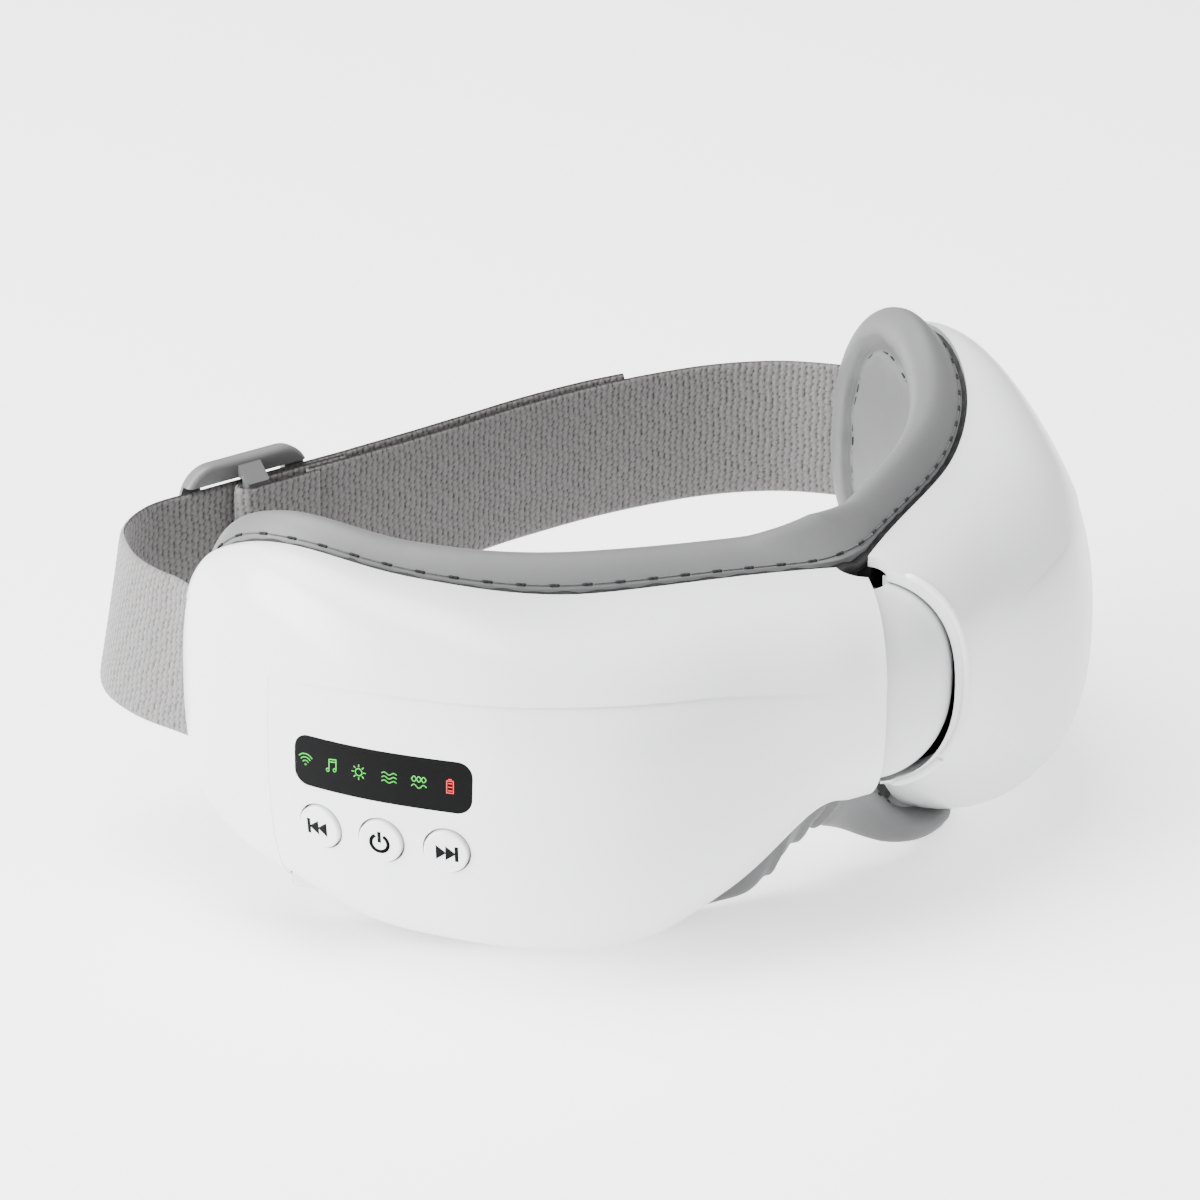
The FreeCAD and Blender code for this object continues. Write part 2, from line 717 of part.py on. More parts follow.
# ---------------------------------------------------------------- build both halves
shell = front_shell()
LEFT_SPANS = ((28.0, 35.7), (48.3, 56.0))
RIGHT_SPANS = ((36.0, 48.0),)

shell = floor_flat(shell)
left_shell = shell
for _name, s in BUTTON_PLACES:
    left_shell = left_shell.cut(button_hole(s))
left_shell = left_shell.cut(display_window(0.0))
port_cut = on_rim(rounded_plate(9.5, 3.8, 1.5, -12.0, 7.8), *PORT_PLACE)
left_shell = left_shell.cut(port_cut)
add("left_front_shell", mirrored(left_shell))
add("right_front_shell", shell)
add("left_back_frame", mirrored(back_frame(LEFT_SPANS)))
add("right_back_frame", back_frame(RIGHT_SPANS))

both_sides = {
    "frame_screws": frame_screws(),
    "seam_strip": seam_strip(),
    "cushion": floor_flat(cushion_ring()),
    "air_bag": stacked(BOLSTER + 1.5, 2.3, 4.2),
    "heater_film": stacked(BOLSTER + 1.5, 4.2, 4.5),
    "node_plate": stacked(BOLSTER + 1.5, 4.5, 5.1),
    "massage_nodes": massage_nodes(),
    "eye_pad": stacked(BOLSTER + 0.4, 6.6, 7.9),
    "speaker": on_rim(disc(8.0, 4.0), 96.0, 3.2, 49.0),
    "vibration_motor": on_rim(disc(5.0, 3.4), 22.5, 8.0, 42.0),
    "strap_bar": on_rim(Part.makeCylinder(1.2, 29.0, Vector(0, 0, -14.5)), 106.6, 1.7,
                        TIP_HEIGHT),
}
for name, shape in both_sides.items():
    add("left_" + name, mirrored(shape))
    add("right_" + name, shape)

add("hinge_drum", hinge_drum())
add("hinge_pin", Part.makeCylinder(HINGE_PIN_RADIUS, 27.4, Vector(0, 0, 28.3)))
add("hinge_cable", hinge_cable())
add("bridge_pad", bridge_pad())

left_only = {
    "display_lens": display_lens(),
    "light_guide": light_guide(),
    "display_lights": display_lights(),
    "display_board": display_board(),
    "switches": Part.makeCompound(switch_solids()),
    "button_board": button_board(),
    "battery": on_rim(block(34.0, 5.5, 32.0), 46.0, 5.6, 36.5),
    "main_board": on_rim(block(33.0, 1.2, 28.0), 46.0, 12.0, 37.0),
    "board_chips": on_rim(board_chips(), 46.0, 12.0, 37.0),
    "air_pump": on_rim(air_pump(), 51.0, 8.0, 13.6),
    "air_valve": on_rim(block(9.0, 9.0, 9.0), 21.0, 7.0, 25.0),
    "charging_port": on_rim(charging_port(), *PORT_PLACE),
}
for name, s in BUTTON_PLACES:
    left_only[name] = button_cap(s)
for name, shape in left_only.items():
    add(name, mirrored(shape))

half_strap = STRAP_THICKNESS / 2
left_curve = curve_through(left_path())
sewn_curve = curve_through(right_path(-LAYER_STEP - 0.2))
tail_curve = curve_through(right_path(0.0))
tail_start = tail_curve.parameter(Vector(-15.0, 107.1, 0)) / tail_curve.LastParameter
tail_end = tail_curve.parameter(Vector(TAIL_END, 101.5, 0)) / tail_curve.LastParameter
add("strap_left", webbing(left_curve, 0.0, 1.0, -half_strap, half_strap))
add("strap_right", webbing(sewn_curve, 0.0, 1.0, -half_strap, half_strap))
add("strap_tail", webbing(tail_curve, tail_start, tail_end, -half_strap, half_strap))
add("strap_slider", strap_slider())
add("strap_loop", strap_loop())

# ---------------------------------------------------------------- move the rest point to the floor
SHIFT = Vector(0.0, -48.2, -FLOOR)
whole = Part.makeCompound(list(parts.values()))
box = whole.BoundBox
print("size", box.XLength, box.YLength, box.ZLength)
print("low", box.XMin, box.YMin, box.ZMin, "high", box.XMax, box.YMax, box.ZMax)
for name, shape in parts.items():
    shape.translate(SHIFT)
    print(name, len(shape.Solids), shape.isValid(), round(shape.Volume))
    shape.exportStep("parts/" + name + ".step")
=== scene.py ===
"""Foldable eye massager mask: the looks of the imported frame.

Helpers work in millimetres from the hinge axis; to_frame turns them into metres."""
import json
import math
import random

import bmesh
import bpy
import numpy as np
from mathutils import Matrix, Vector


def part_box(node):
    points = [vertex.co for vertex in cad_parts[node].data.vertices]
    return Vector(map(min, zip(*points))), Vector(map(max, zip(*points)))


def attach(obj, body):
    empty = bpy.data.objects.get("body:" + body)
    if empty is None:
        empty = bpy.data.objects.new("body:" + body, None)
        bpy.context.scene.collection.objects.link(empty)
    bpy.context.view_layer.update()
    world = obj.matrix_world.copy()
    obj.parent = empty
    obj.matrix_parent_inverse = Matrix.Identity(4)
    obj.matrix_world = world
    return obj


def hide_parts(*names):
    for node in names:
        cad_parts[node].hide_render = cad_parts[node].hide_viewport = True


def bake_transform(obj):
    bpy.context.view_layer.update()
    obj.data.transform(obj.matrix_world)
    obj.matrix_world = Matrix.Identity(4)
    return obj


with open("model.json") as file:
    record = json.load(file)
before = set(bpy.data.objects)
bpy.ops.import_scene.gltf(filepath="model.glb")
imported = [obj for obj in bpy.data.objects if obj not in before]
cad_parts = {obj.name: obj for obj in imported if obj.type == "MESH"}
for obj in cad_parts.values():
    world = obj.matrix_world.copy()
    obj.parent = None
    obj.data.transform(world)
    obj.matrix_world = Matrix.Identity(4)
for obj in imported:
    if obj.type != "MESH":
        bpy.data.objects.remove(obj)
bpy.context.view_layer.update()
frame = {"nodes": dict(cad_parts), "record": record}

random.seed(7)
rng = np.random.default_rng(7)

# ---------------------------------------------------------------- where the hinge stands
joints = {j["name"]: j for j in frame["record"]["behaviour"]["joints"]}
HINGE = Vector(joints["fold"]["pos_m"])
FLOOR = 0.5                     # height taken off the undersides, mm

# ---------------------------------------------------------------- the mask's outline, mm
HALF = 118.0
RIM_ANGLES = (30.4, 35.9, 103.2)
STATIONS = np.array([0, 10, 20, 45, 75, 100, 118], float)
SHELL_TOP = (60.8, 61.1, 61.2, 60.9, 64.8, 70.2, 71.0)
SHELL_BOTTOM = (22.5, 20.2, 11.3, 0.4, 3.8, 10.4, 10.4)
SHELL_DEPTH = (17.5, 19.1, 20.8, 25.1, 19.2, 15.9, 15.9)
STEP_DEPTH = 0.3
PAD_TOP = (66.6, 65.8, 65.2, 65.6, 68.2, 74.8, 78.0)
PAD_BOTTOM = (11.5, 8.0, 3.4, -0.4, 0.3, 9.0, 14.0)
MIDDLE = 41.3
UPPER_SQUARE = 2.53
LOWER_SQUARE = 2.2
PAD_OVERHANG = 1.6

STRAP_WIDTH = 25.0
STRAP_LOW = MIDDLE - STRAP_WIDTH / 2
SLIDER_PLACE = (-38.0, 108.75)
SLIDER_TURN = math.radians(-4.2)
LAYER_STEP = 2.9

YARN_LENGTH = 1.25     # each visible yarn of the strap stands this tall
YARN_WIDTH = 1.2       # and this wide

ICON_HEIGHT = 37.4
BUTTON_HEIGHT = 26.0
BUTTONS = {"button_previous": 85.2, "button_power": 76.8, "button_next": 68.4}


def to_frame(points):
    """Millimetres with the hinge axis at x = y = 0 to metres in the row frame."""
    points = np.atleast_2d(np.asarray(points, float))
    shift = np.array([HINGE.x, HINGE.y, -FLOOR * 0.001])
    return points * 0.001 + shift


def smooth_slopes(values):
    values = np.asarray(values, float)
    gaps = np.diff(STATIONS)
    rises = np.diff(values) / gaps
    slopes = np.zeros(len(values))
    slopes[0] = rises[0]
    for i in range(1, len(gaps)):
        if rises[i - 1] * rises[i] > 0:
            first = 2 * gaps[i] + gaps[i - 1]
            second = gaps[i] + 2 * gaps[i - 1]
            slopes[i] = (first + second) / (first / rises[i - 1] + second / rises[i])
    return gaps, slopes


def along(values, s):
    values = np.asarray(values, float)
    gaps, slopes = smooth_slopes(values)
    s = np.clip(np.abs(np.asarray(s, float)), 0, HALF)
    i = np.clip(np.searchsorted(STATIONS, s, side="right") - 1, 0, len(gaps) - 1)
    u = (s - STATIONS[i]) / gaps[i]
    start = values[i] * (1 + 2 * u) * (1 - u) ** 2 + gaps[i] * slopes[i] * u * (1 - u) ** 2
    end = values[i + 1] * u * u * (3 - 2 * u) + gaps[i] * slopes[i + 1] * u * u * (u - 1)
    return start + end


def rim_heading(s):
    u = s / HALF
    first, middle, last = RIM_ANGLES
    bend = 2 * first - 4 * middle + 2 * last
    turn = -3 * first + 4 * middle - last
    return np.radians(first + turn * u + bend * u * u)


RIM_STEP = 0.25
RIM_S = np.arange(0.0, 126.0, RIM_STEP)
RIM_MID = rim_heading(RIM_S[:-1] + RIM_STEP / 2)
RIM_X = np.concatenate([[0.0], np.cumsum(np.cos(RIM_MID)) * RIM_STEP])
RIM_Y = np.concatenate([[0.0], np.cumsum(np.sin(RIM_MID)) * RIM_STEP])


def plan(s, out, smooth=0.0):
    """Plan place of rim distance s (negative on the -X half), out in front of the rim.
    smooth rounds the corner at the hinge over that distance each side, for soft pieces."""
    s, out = np.broadcast_arrays(np.asarray(s, float), np.asarray(out, float))
    distance = np.abs(s)
    side = np.where(s < 0, -1.0, 1.0)
    heading = rim_heading(distance)
    x = side * (np.interp(distance, RIM_S, RIM_X) + out * np.sin(heading))
    y = np.interp(distance, RIM_S, RIM_Y) - out * np.cos(heading)
    if np.any(np.asarray(smooth) > 0):
        end_x = np.interp(smooth, RIM_S, RIM_X)
        end_y = np.interp(smooth, RIM_S, RIM_Y)
        angle = rim_heading(np.asarray(smooth, float))
        pull = 1.7 * smooth
        t = np.clip((s + smooth) / (2 * smooth), 0, 1)
        h0 = 2 * t ** 3 - 3 * t ** 2 + 1
        h1 = t ** 3 - 2 * t ** 2 + t
        h2 = 1 - h0
        h3 = t ** 3 - t ** 2
        cx = -h0 * end_x + h2 * end_x + (h1 + h3) * pull * np.cos(angle)
        cy = end_y + (h3 - h1) * pull * np.sin(angle)
        d0 = 6 * t ** 2 - 6 * t
        d1 = 3 * t ** 2 - 4 * t + 1
        d3 = 3 * t ** 2 - 2 * t
        tx = -d0 * 2 * end_x + (d1 + d3) * pull * np.cos(angle)
        ty = (d3 - d1) * pull * np.sin(angle)
        size = np.hypot(tx, ty) + 1e-9
        near = distance < smooth
        x = np.where(near, cx + out * ty / size, x)
        y = np.where(near, cy - out * tx / size, y)
    return x, y


def fall(s, start, end, power):
    t = np.clip((np.abs(s) - start) / (end - start), 0, 1)
    return np.clip(1 - t ** power, 0, 1) ** (1 / power)


def shell_size(s, inset=0.0):
    end = HALF - inset
    close = fall(s, 70.0, end, 2.89)
    top = MIDDLE + (along(SHELL_TOP, s) - MIDDLE - inset) * close
    bottom = MIDDLE - (MIDDLE - along(SHELL_BOTTOM, s) - inset) * close
    depth = (along(SHELL_DEPTH, s) - inset) * fall(s, 61.0, end, 1.42) + 0.5
    return top, bottom, depth


def pad_size(s):
    close = fall(s, 70.0, HALF + PAD_OVERHANG, 2.6)
    top = MIDDLE + (along(PAD_TOP, s) - MIDDLE) * close
    sag = 2.8 * np.exp(-((s + 12) / 8) ** 2)
    bottom = MIDDLE - (MIDDLE - along(PAD_BOTTOM, s) + sag) * close
    return top, bottom


def face_out(s, z):
    """How far the shell's face stands in front of the rim."""
    top, bottom, depth = shell_size(s)
    share = (z - (top + bottom) / 2) / ((top - bottom) / 2)
    square = np.where(share > 0, UPPER_SQUARE, LOWER_SQUARE)
    return depth * np.clip(1 - np.abs(share) ** square, 0, 1) ** (1 / square)


def face_point(s, z, lift=0.0):
    """Points on the middle field of the shell's face, lifted along its normal, mm. s is signed."""
    s, z = np.broadcast_arrays(np.asarray(s, float), np.asarray(z, float))

    def raw(ss, zz):
        x, y = plan(ss, face_out(ss, zz))
        return np.stack([x, y, zz], -1)

    here = raw(s, z)
    ahead = raw(s + 0.3, z) - raw(s - 0.3, z)
    above = raw(s, z + 0.3) - raw(s, z - 0.3)
    normal = np.cross(ahead, above)
    normal /= np.linalg.norm(normal, axis=-1, keepdims=True) + 1e-12
    return here + normal * (lift - STEP_DEPTH), normal

# ---------------------------------------------------------------- mesh helpers
def make_mesh(name, points, faces, uv=None, smooth=True):
    """Object from frame-space points in mm; faces are index tuples, uv one pair per point."""
    mesh = bpy.data.meshes.new(name)
    mesh.from_pydata([tuple(p) for p in to_frame(points)], [], [tuple(f) for f in faces])
    if uv is not None:
        layer = mesh.uv_layers.new(name="UVMap")
        corner_vertex = np.zeros(len(mesh.loops), np.int32)
        mesh.loops.foreach_get("vertex_index", corner_vertex)
        layer.data.foreach_set("uv", np.asarray(uv, np.float32)[corner_vertex].ravel())
    mesh.validate()
    if smooth:
        mesh.polygons.foreach_set("use_smooth", [True] * len(mesh.polygons))
    obj = bpy.data.objects.new(name, mesh)
    bpy.context.scene.collection.objects.link(obj)
    return obj


def ring_faces(rings, count):
    """Quads joining closed rings of count points each."""
    faces = []
    for r in range(rings - 1):
        for i in range(count):
            j = (i + 1) % count
            faces.append((r * count + i, r * count + j, (r + 1) * count + j, (r + 1) * count + i))
    return faces


def merge_close(obj, distance):
    bm = bmesh.new()
    bm.from_mesh(obj.data)
    bmesh.ops.remove_doubles(bm, verts=bm.verts, dist=distance)
    bmesh.ops.recalc_face_normals(bm, faces=bm.faces)
    bm.to_mesh(obj.data)
    bm.free()
    obj.data.polygons.foreach_set("use_smooth", [True] * len(obj.data.polygons))

# ---------------------------------------------------------------- materials
def new_material(name, colour, roughness, **sockets):
    mat = bpy.data.materials.new(name)
    mat.use_nodes = True
    bsdf = mat.node_tree.nodes["Principled BSDF"]
    bsdf.inputs["Base Color"].default_value = (*colour, 1.0)
    bsdf.inputs["Roughness"].default_value = roughness
    for key, value in sockets.items():
        bsdf.inputs[key.replace("_", " ")].default_value = value
    return mat, mat.node_tree.nodes, mat.node_tree.links, bsdf


def texture(nodes, links, kind, scale, coordinates, output="Object"):
    node = nodes.new(kind)
    node.inputs["Scale"].default_value = scale
    links.new(coordinates.outputs[output], node.inputs["Vector"])
    return node


def tint(nodes, links, factor, low, high, bsdf, socket="Base Color"):
    """Colour ramp from low to high driven by factor into the shader."""
    ramp = nodes.new("ShaderNodeValToRGB")
    ramp.color_ramp.elements[0].color = (*low, 1)
    ramp.color_ramp.elements[1].color = (*high, 1)
    links.new(factor, ramp.inputs["Fac"])
    links.new(ramp.outputs["Color"], bsdf.inputs[socket])
    return ramp


def relief(nodes, links, height, bsdf, distance, strength=1.0, below=None):
    bump = nodes.new("ShaderNodeBump")
    bump.inputs["Distance"].default_value = distance
    bump.inputs["Strength"].default_value = strength
    links.new(height, bump.inputs["Height"])
    if below is not None:
        links.new(below.outputs["Normal"], bump.inputs["Normal"])
    links.new(bump.outputs["Normal"], bsdf.inputs["Normal"])
    return bump


def vary_roughness(nodes, links, factor, low, high, bsdf):
    span = nodes.new("ShaderNodeMapRange")
    span.inputs["To Min"].default_value = low
    span.inputs["To Max"].default_value = high
    links.new(factor, span.inputs["Value"])
    links.new(span.outputs["Result"], bsdf.inputs["Roughness"])


def moulded(name, colour, roughness, grain=0.00001, coat=0.0, sheen=0.0, scale=900.0,
            gloss=0.5):
    """Moulded plastic: faint colour drift, fine surface texture, roughness variation."""
    mat, nodes, links, bsdf = new_material(name, colour, roughness)
    bsdf.inputs["Specular IOR Level"].default_value = gloss
    bsdf.inputs["Coat Weight"].default_value = coat
    bsdf.inputs["Coat Roughness"].default_value = 0.2
    bsdf.inputs["Sheen Weight"].default_value = sheen
    where = nodes.new("ShaderNodeTexCoord")
    drift = texture(nodes, links, "ShaderNodeTexNoise", 18.0, where)
    fine = texture(nodes, links, "ShaderNodeTexNoise", scale, where)
    low = tuple(c * 0.985 for c in colour)
    tint(nodes, links, drift.outputs["Fac"], low, colour, bsdf)
    vary_roughness(nodes, links, drift.outputs["Fac"], roughness * 0.85, roughness * 1.2, bsdf)
    relief(nodes, links, fine.outputs["Fac"], bsdf, grain, 0.4)
    return mat


def leatherette(name, colour, wrinkle=0.00012):
    """Soft PU leatherette: pebble grain, broad soft creases, satin sheen."""
    mat, nodes, links, bsdf = new_material(name, colour, 0.46)
    bsdf.inputs["Sheen Weight"].default_value = 0.04
    bsdf.inputs["Sheen Roughness"].default_value = 0.4
    bsdf.inputs["Specular IOR Level"].default_value = 0.42
    where = nodes.new("ShaderNodeTexCoord")
    pebble = texture(nodes, links, "ShaderNodeTexVoronoi", 1700.0, where)
    broad = texture(nodes, links, "ShaderNodeTexNoise", 70.0, where)
    broad.inputs["Detail"].default_value = 4.0
    low = tuple(c * 0.93 for c in colour)
    tint(nodes, links, broad.outputs["Fac"], low, tuple(c * 1.05 for c in colour), bsdf)
    vary_roughness(nodes, links, broad.outputs["Fac"], 0.42, 0.56, bsdf)
    first = relief(nodes, links, broad.outputs["Fac"], bsdf, wrinkle, 0.5)
    relief(nodes, links, pebble.outputs["Distance"], bsdf, 0.00004, 0.35, below=first)
    return mat


def webbing_cloth(name, hollow_shade, light):
    """Coarse woven elastic: the mesh's own weave attribute paints shade into the hollows between
    yarns.
    """
    mat, nodes, links, bsdf = new_material(name, light, 0.84)
    bsdf.inputs["Sheen Weight"].default_value = 0.3
    bsdf.inputs["Sheen Roughness"].default_value = 0.5
    where = nodes.new("ShaderNodeTexCoord")
    weave = nodes.new("ShaderNodeAttribute")
    weave.attribute_name = "weave"
    fibre = texture(nodes, links, "ShaderNodeTexNoise", 2200.0, where, "UV")
    fibre.inputs["Detail"].default_value = 4.0
    broad = texture(nodes, links, "ShaderNodeTexNoise", 130.0, where, "UV")
    shade_and_fibre = nodes.new("ShaderNodeMix")
    shade_and_fibre.data_type = "FLOAT"
    shade_and_fibre.inputs["Factor"].default_value = 0.4
    links.new(weave.outputs["Fac"], shade_and_fibre.inputs["A"])
    links.new(fibre.outputs["Fac"], shade_and_fibre.inputs["B"])
    # painted shade: the weave's hollows take the dark end of the ramp and the yarn tops the light
    # colour, with fibre noise mixed in
    ramp = tint(nodes, links, shade_and_fibre.outputs["Result"], hollow_shade, light, bsdf)
    ramp.color_ramp.elements[0].position = 0.15
    ramp.color_ramp.elements[1].position = 0.75
    vary_roughness(nodes, links, broad.outputs["Fac"], 0.78, 0.92, bsdf)
    relief(nodes, links, fibre.outputs["Fac"], bsdf, 0.00022, 0.7)
    return mat


def glowing(name, colour, strength):
    """Lit symbol: even glow with a slightly paler body."""
    mat, nodes, links, bsdf = new_material(name, colour, 0.4)
    bsdf.inputs["Emission Color"].default_value = (*colour, 1)
    bsdf.inputs["Emission Strength"].default_value = strength
    where = nodes.new("ShaderNodeTexCoord")
    speck = texture(nodes, links, "ShaderNodeTexNoise", 1500.0, where)
    tint(nodes, links, speck.outputs["Fac"], tuple(c * 0.7 for c in colour), colour, bsdf)
    return mat


def metal(name, colour, roughness):
    mat, nodes, links, bsdf = new_material(name, colour, roughness, Metallic=1.0)
    where = nodes.new("ShaderNodeTexCoord")
    brushed = texture(nodes, links, "ShaderNodeTexNoise", 600.0, where)
    vary_roughness(nodes, links, brushed.outputs["Fac"], roughness * 0.8, roughness * 1.3, bsdf)
    relief(nodes, links, brushed.outputs["Fac"], bsdf, 0.00001, 0.3)
    return mat


SHELL_WHITE = moulded("shell_white", (0.74, 0.745, 0.755), 0.3, coat=0.35)
# painted shade: a darker copy of the shell white for the hinge drum, which sits in shade between
# the halves
SHADED_DRUM_WHITE = moulded("drum_white_painted_shade", (0.64, 0.645, 0.655), 0.35, coat=0.1)
BUTTON_WHITE = moulded("button_white", (0.76, 0.76, 0.77), 0.3, coat=0.2)
LENS_BLACK = moulded("lens_black", (0.0015, 0.0016, 0.0018), 0.12, grain=0.000002, gloss=0.06)
SLIDER_GREY = moulded("slider_grey", (0.12, 0.12, 0.122), 0.42, grain=0.00004)
FRAME_GREY = moulded("frame_grey", (0.05, 0.05, 0.052), 0.5, grain=0.00004)
PAD_LEATHER = leatherette("pad_leatherette", (0.115, 0.116, 0.118))
EYE_LEATHER = leatherette("eye_leatherette", (0.11, 0.111, 0.113))
# the strip's own dark grey, darkened further with painted shade for the shadowed gap between shell
# and bolster
SEAM_CLOTH_AND_SHADE = moulded("seam_cloth_and_shade", (0.016, 0.016, 0.0165), 0.75, grain=0.0001, scale=1500.0)
# first colour: painted shade for the hollows between yarns; second colour: the yarns' own grey
STRAP_CLOTH = webbing_cloth("strap_webbing", (0.012, 0.0115, 0.011), (0.15, 0.144, 0.142))
THREAD = moulded("stitch_thread", (0.05, 0.05, 0.05), 0.7, sheen=0.2)
# near-black: painted shade for the needle holes between stitches, and the colour of the dark inner
# stitch threads
HOLE_SHADE_AND_DARK_THREAD = moulded("needle_hole_shade_and_dark_thread", (0.01, 0.01, 0.01), 0.9)
INK = moulded("button_ink", (0.003, 0.003, 0.0035), 0.5, gloss=0.05)
GLOW_GREEN = glowing("glow_green", (0.0, 0.42, 0.012), 0.7)
GLOW_RED = glowing("glow_red", (0.6, 0.0, 0.0), 0.8)
STEEL = metal("plain_steel", (0.6, 0.6, 0.62), 0.3)
BOARD = moulded("board_green", (0.02, 0.16, 0.06), 0.4)
CHIP = moulded("chip_black", (0.02, 0.02, 0.02), 0.5)
CELL = moulded("cell_wrap", (0.1, 0.17, 0.3), 0.35)
BLADDER = moulded("soft_bladder", (0.35, 0.35, 0.37), 0.4)
FILM = moulded("heater_film", (0.4, 0.22, 0.05), 0.3)
JACKET = moulded("cable_jacket", (0.03, 0.03, 0.03), 0.6)
DIFFUSER = moulded("diffuser", (0.7, 0.7, 0.62), 0.5)

SLOT_MATERIAL = {
    "white_shell": SHELL_WHITE, "frame_plastic": FRAME_GREY, "pad_leatherette": PAD_LEATHER,
    "eye_leatherette": EYE_LEATHER, "seam_fabric": SEAM_CLOTH_AND_SHADE, "webbing": STRAP_CLOTH,
    "slider_plastic": SLIDER_GREY, "lens": LENS_BLACK, "button_plastic": BUTTON_WHITE,
    "steel": STEEL, "board": BOARD, "chip": CHIP, "cell_wrap": CELL,
    "soft_bladder": BLADDER, "heater": FILM, "cable_jacket": JACKET, "light": DIFFUSER,
}
node_slot = {row["node"]: row["material_slot"] for row in frame["record"]["subparts"]}
for node, obj in frame["nodes"].items():
    # the hinge drum takes the darker copy of the shell white, painted shade
    wanted = SHADED_DRUM_WHITE if node == "hinge_drum" else SLOT_MATERIAL[node_slot[node]]
    obj.data.materials.clear()
    obj.data.materials.append(wanted)


def dress(obj, material):
    obj.data.materials.append(material)
    return obj

# ---------------------------------------------------------------- soft outline
def outline(size_at, end, count):
    """Closed loop of (s, z): along the top from -X to +X and back along the bottom."""
    quarter = np.linspace(0, math.pi / 2, 160)
    reach = end * (0.35 * np.sin(quarter) + 0.65 * (1 - (1 - quarter / (math.pi / 2)) ** 2))
    reach = np.minimum(reach / reach[-1], 1.0) * end
    s = np.concatenate([-reach[::-1], reach[1:]])
    top, bottom = size_at(s)[:2]
    loop_s = np.concatenate([s, s[::-1][1:-1]])
    loop_z = np.concatenate([top, bottom[::-1][1:-1]])
    step = np.hypot(np.diff(np.append(loop_s, loop_s[0])), np.diff(np.append(loop_z, loop_z[0])))
    run = np.concatenate([[0.0], np.cumsum(step)])
    target = np.linspace(0, run[-1], count, endpoint=False)
    even_s = np.interp(target, run, np.append(loop_s, loop_s[0]))
    even_z = np.interp(target, run, np.append(loop_z, loop_z[0]))
    return even_s, even_z


SPINE_END = 84.0
CORNER = 17.0          # the soft pieces round the hinge corner over this distance
FRONT_CORNER = 8.0     # the bolster's front edge, beside the shells, rounds it more tightly
RIM_MARGIN = 0.5       # the bolster's front edge sits this far outside the shell's rim


def inward(s, z, size_at):
    """Unit direction and distance from outline points to the soft body's middle line."""
    spine_s = np.clip(s, -SPINE_END, SPINE_END)
    top, bottom = size_at(spine_s)[:2]
    spine_z = (top + bottom) / 2
    ds = spine_s - s
    dz = spine_z - z
    length = np.hypot(ds, dz) + 1e-9
    return ds / length, dz / length, length


BOLSTER_WIDTH = 5.2      # half the bolster's width across the face
BOLSTER_DEPTH = 4.0      # half its depth
BOLSTER_CENTRE = 5.9     # its middle, behind the rim
GROOVE = 10.4            # inner seam, in from the outline
PAD_FRONT = 1.2          # the cover starts this far behind the rim
FRONT_ANGLE = -80        # round the bolster's section, 0 at its outline: its front edge
SEAM_ANGLE = -66         # where the gathered strip meets the bolster
STITCH_ANGLE = -62       # where the stitches run
RING_POINTS = 900
STITCH_POINTS = 1400
LOWEST = FLOOR + 0.05    # soft pieces are flat where they rest
WELD = 0.00003           # points closer than this are joined, metres


def cushion_profile():
    """(inset from the outline, depth behind the rim) from the bolster's crest inwards."""
    rows = []
    back = BOLSTER_CENTRE + BOLSTER_DEPTH
    for i in range(1, 9):
        t = i / 9
        rows.append((BOLSTER_WIDTH + (GROOVE - BOLSTER_WIDTH) * t,
                     back - 2.1 * (0.5 - 0.5 * math.cos(math.pi * t ** 1.4))))
    rows.append((GROOVE, back - 2.7))
    for reach, level in ((0.4, 2.5), (0.9, 1.9), (1.8, 1.4), (3.0, 1.2), (5.0, 1.1)):
        rows.append((GROOVE + reach, back - level))
    return rows


def tip_thinning(s):
    """The cushion grows thinner towards the temples."""
    t = np.clip((np.abs(s) - 72) / 48, 0, 1)
    return 1 - 0.5 * t ** 1.5


def tip_narrowing(s):
    """The bolster grows narrower round the temples."""
    t = np.clip((np.abs(s) - 96) / 18, 0, 1)
    return 1 - 0.45 * t * t * (3 - 2 * t)


def chin_lean(s, z):
    """Under the shells the bolster's lobes bulge forwards, below the rim."""
    low = np.clip((26 - z) / 14, 0, 1)
    low = low * low * (3 - 2 * low)
    window = np.exp(-((np.abs(s) - 33) / 18) ** 4)
    return np.where(s < 0, 3.0, 10.0) * low * window


def soft_outlines(count):
    """Matching even loops: the bolster's outline and the shell's rim."""
    rim_size = lambda s: shell_size(s)[:2]
    pad_line = outline(pad_size, HALF + PAD_OVERHANG, count)
    rim_line = outline(rim_size, HALF - 0.2, count)
    return pad_line, rim_line


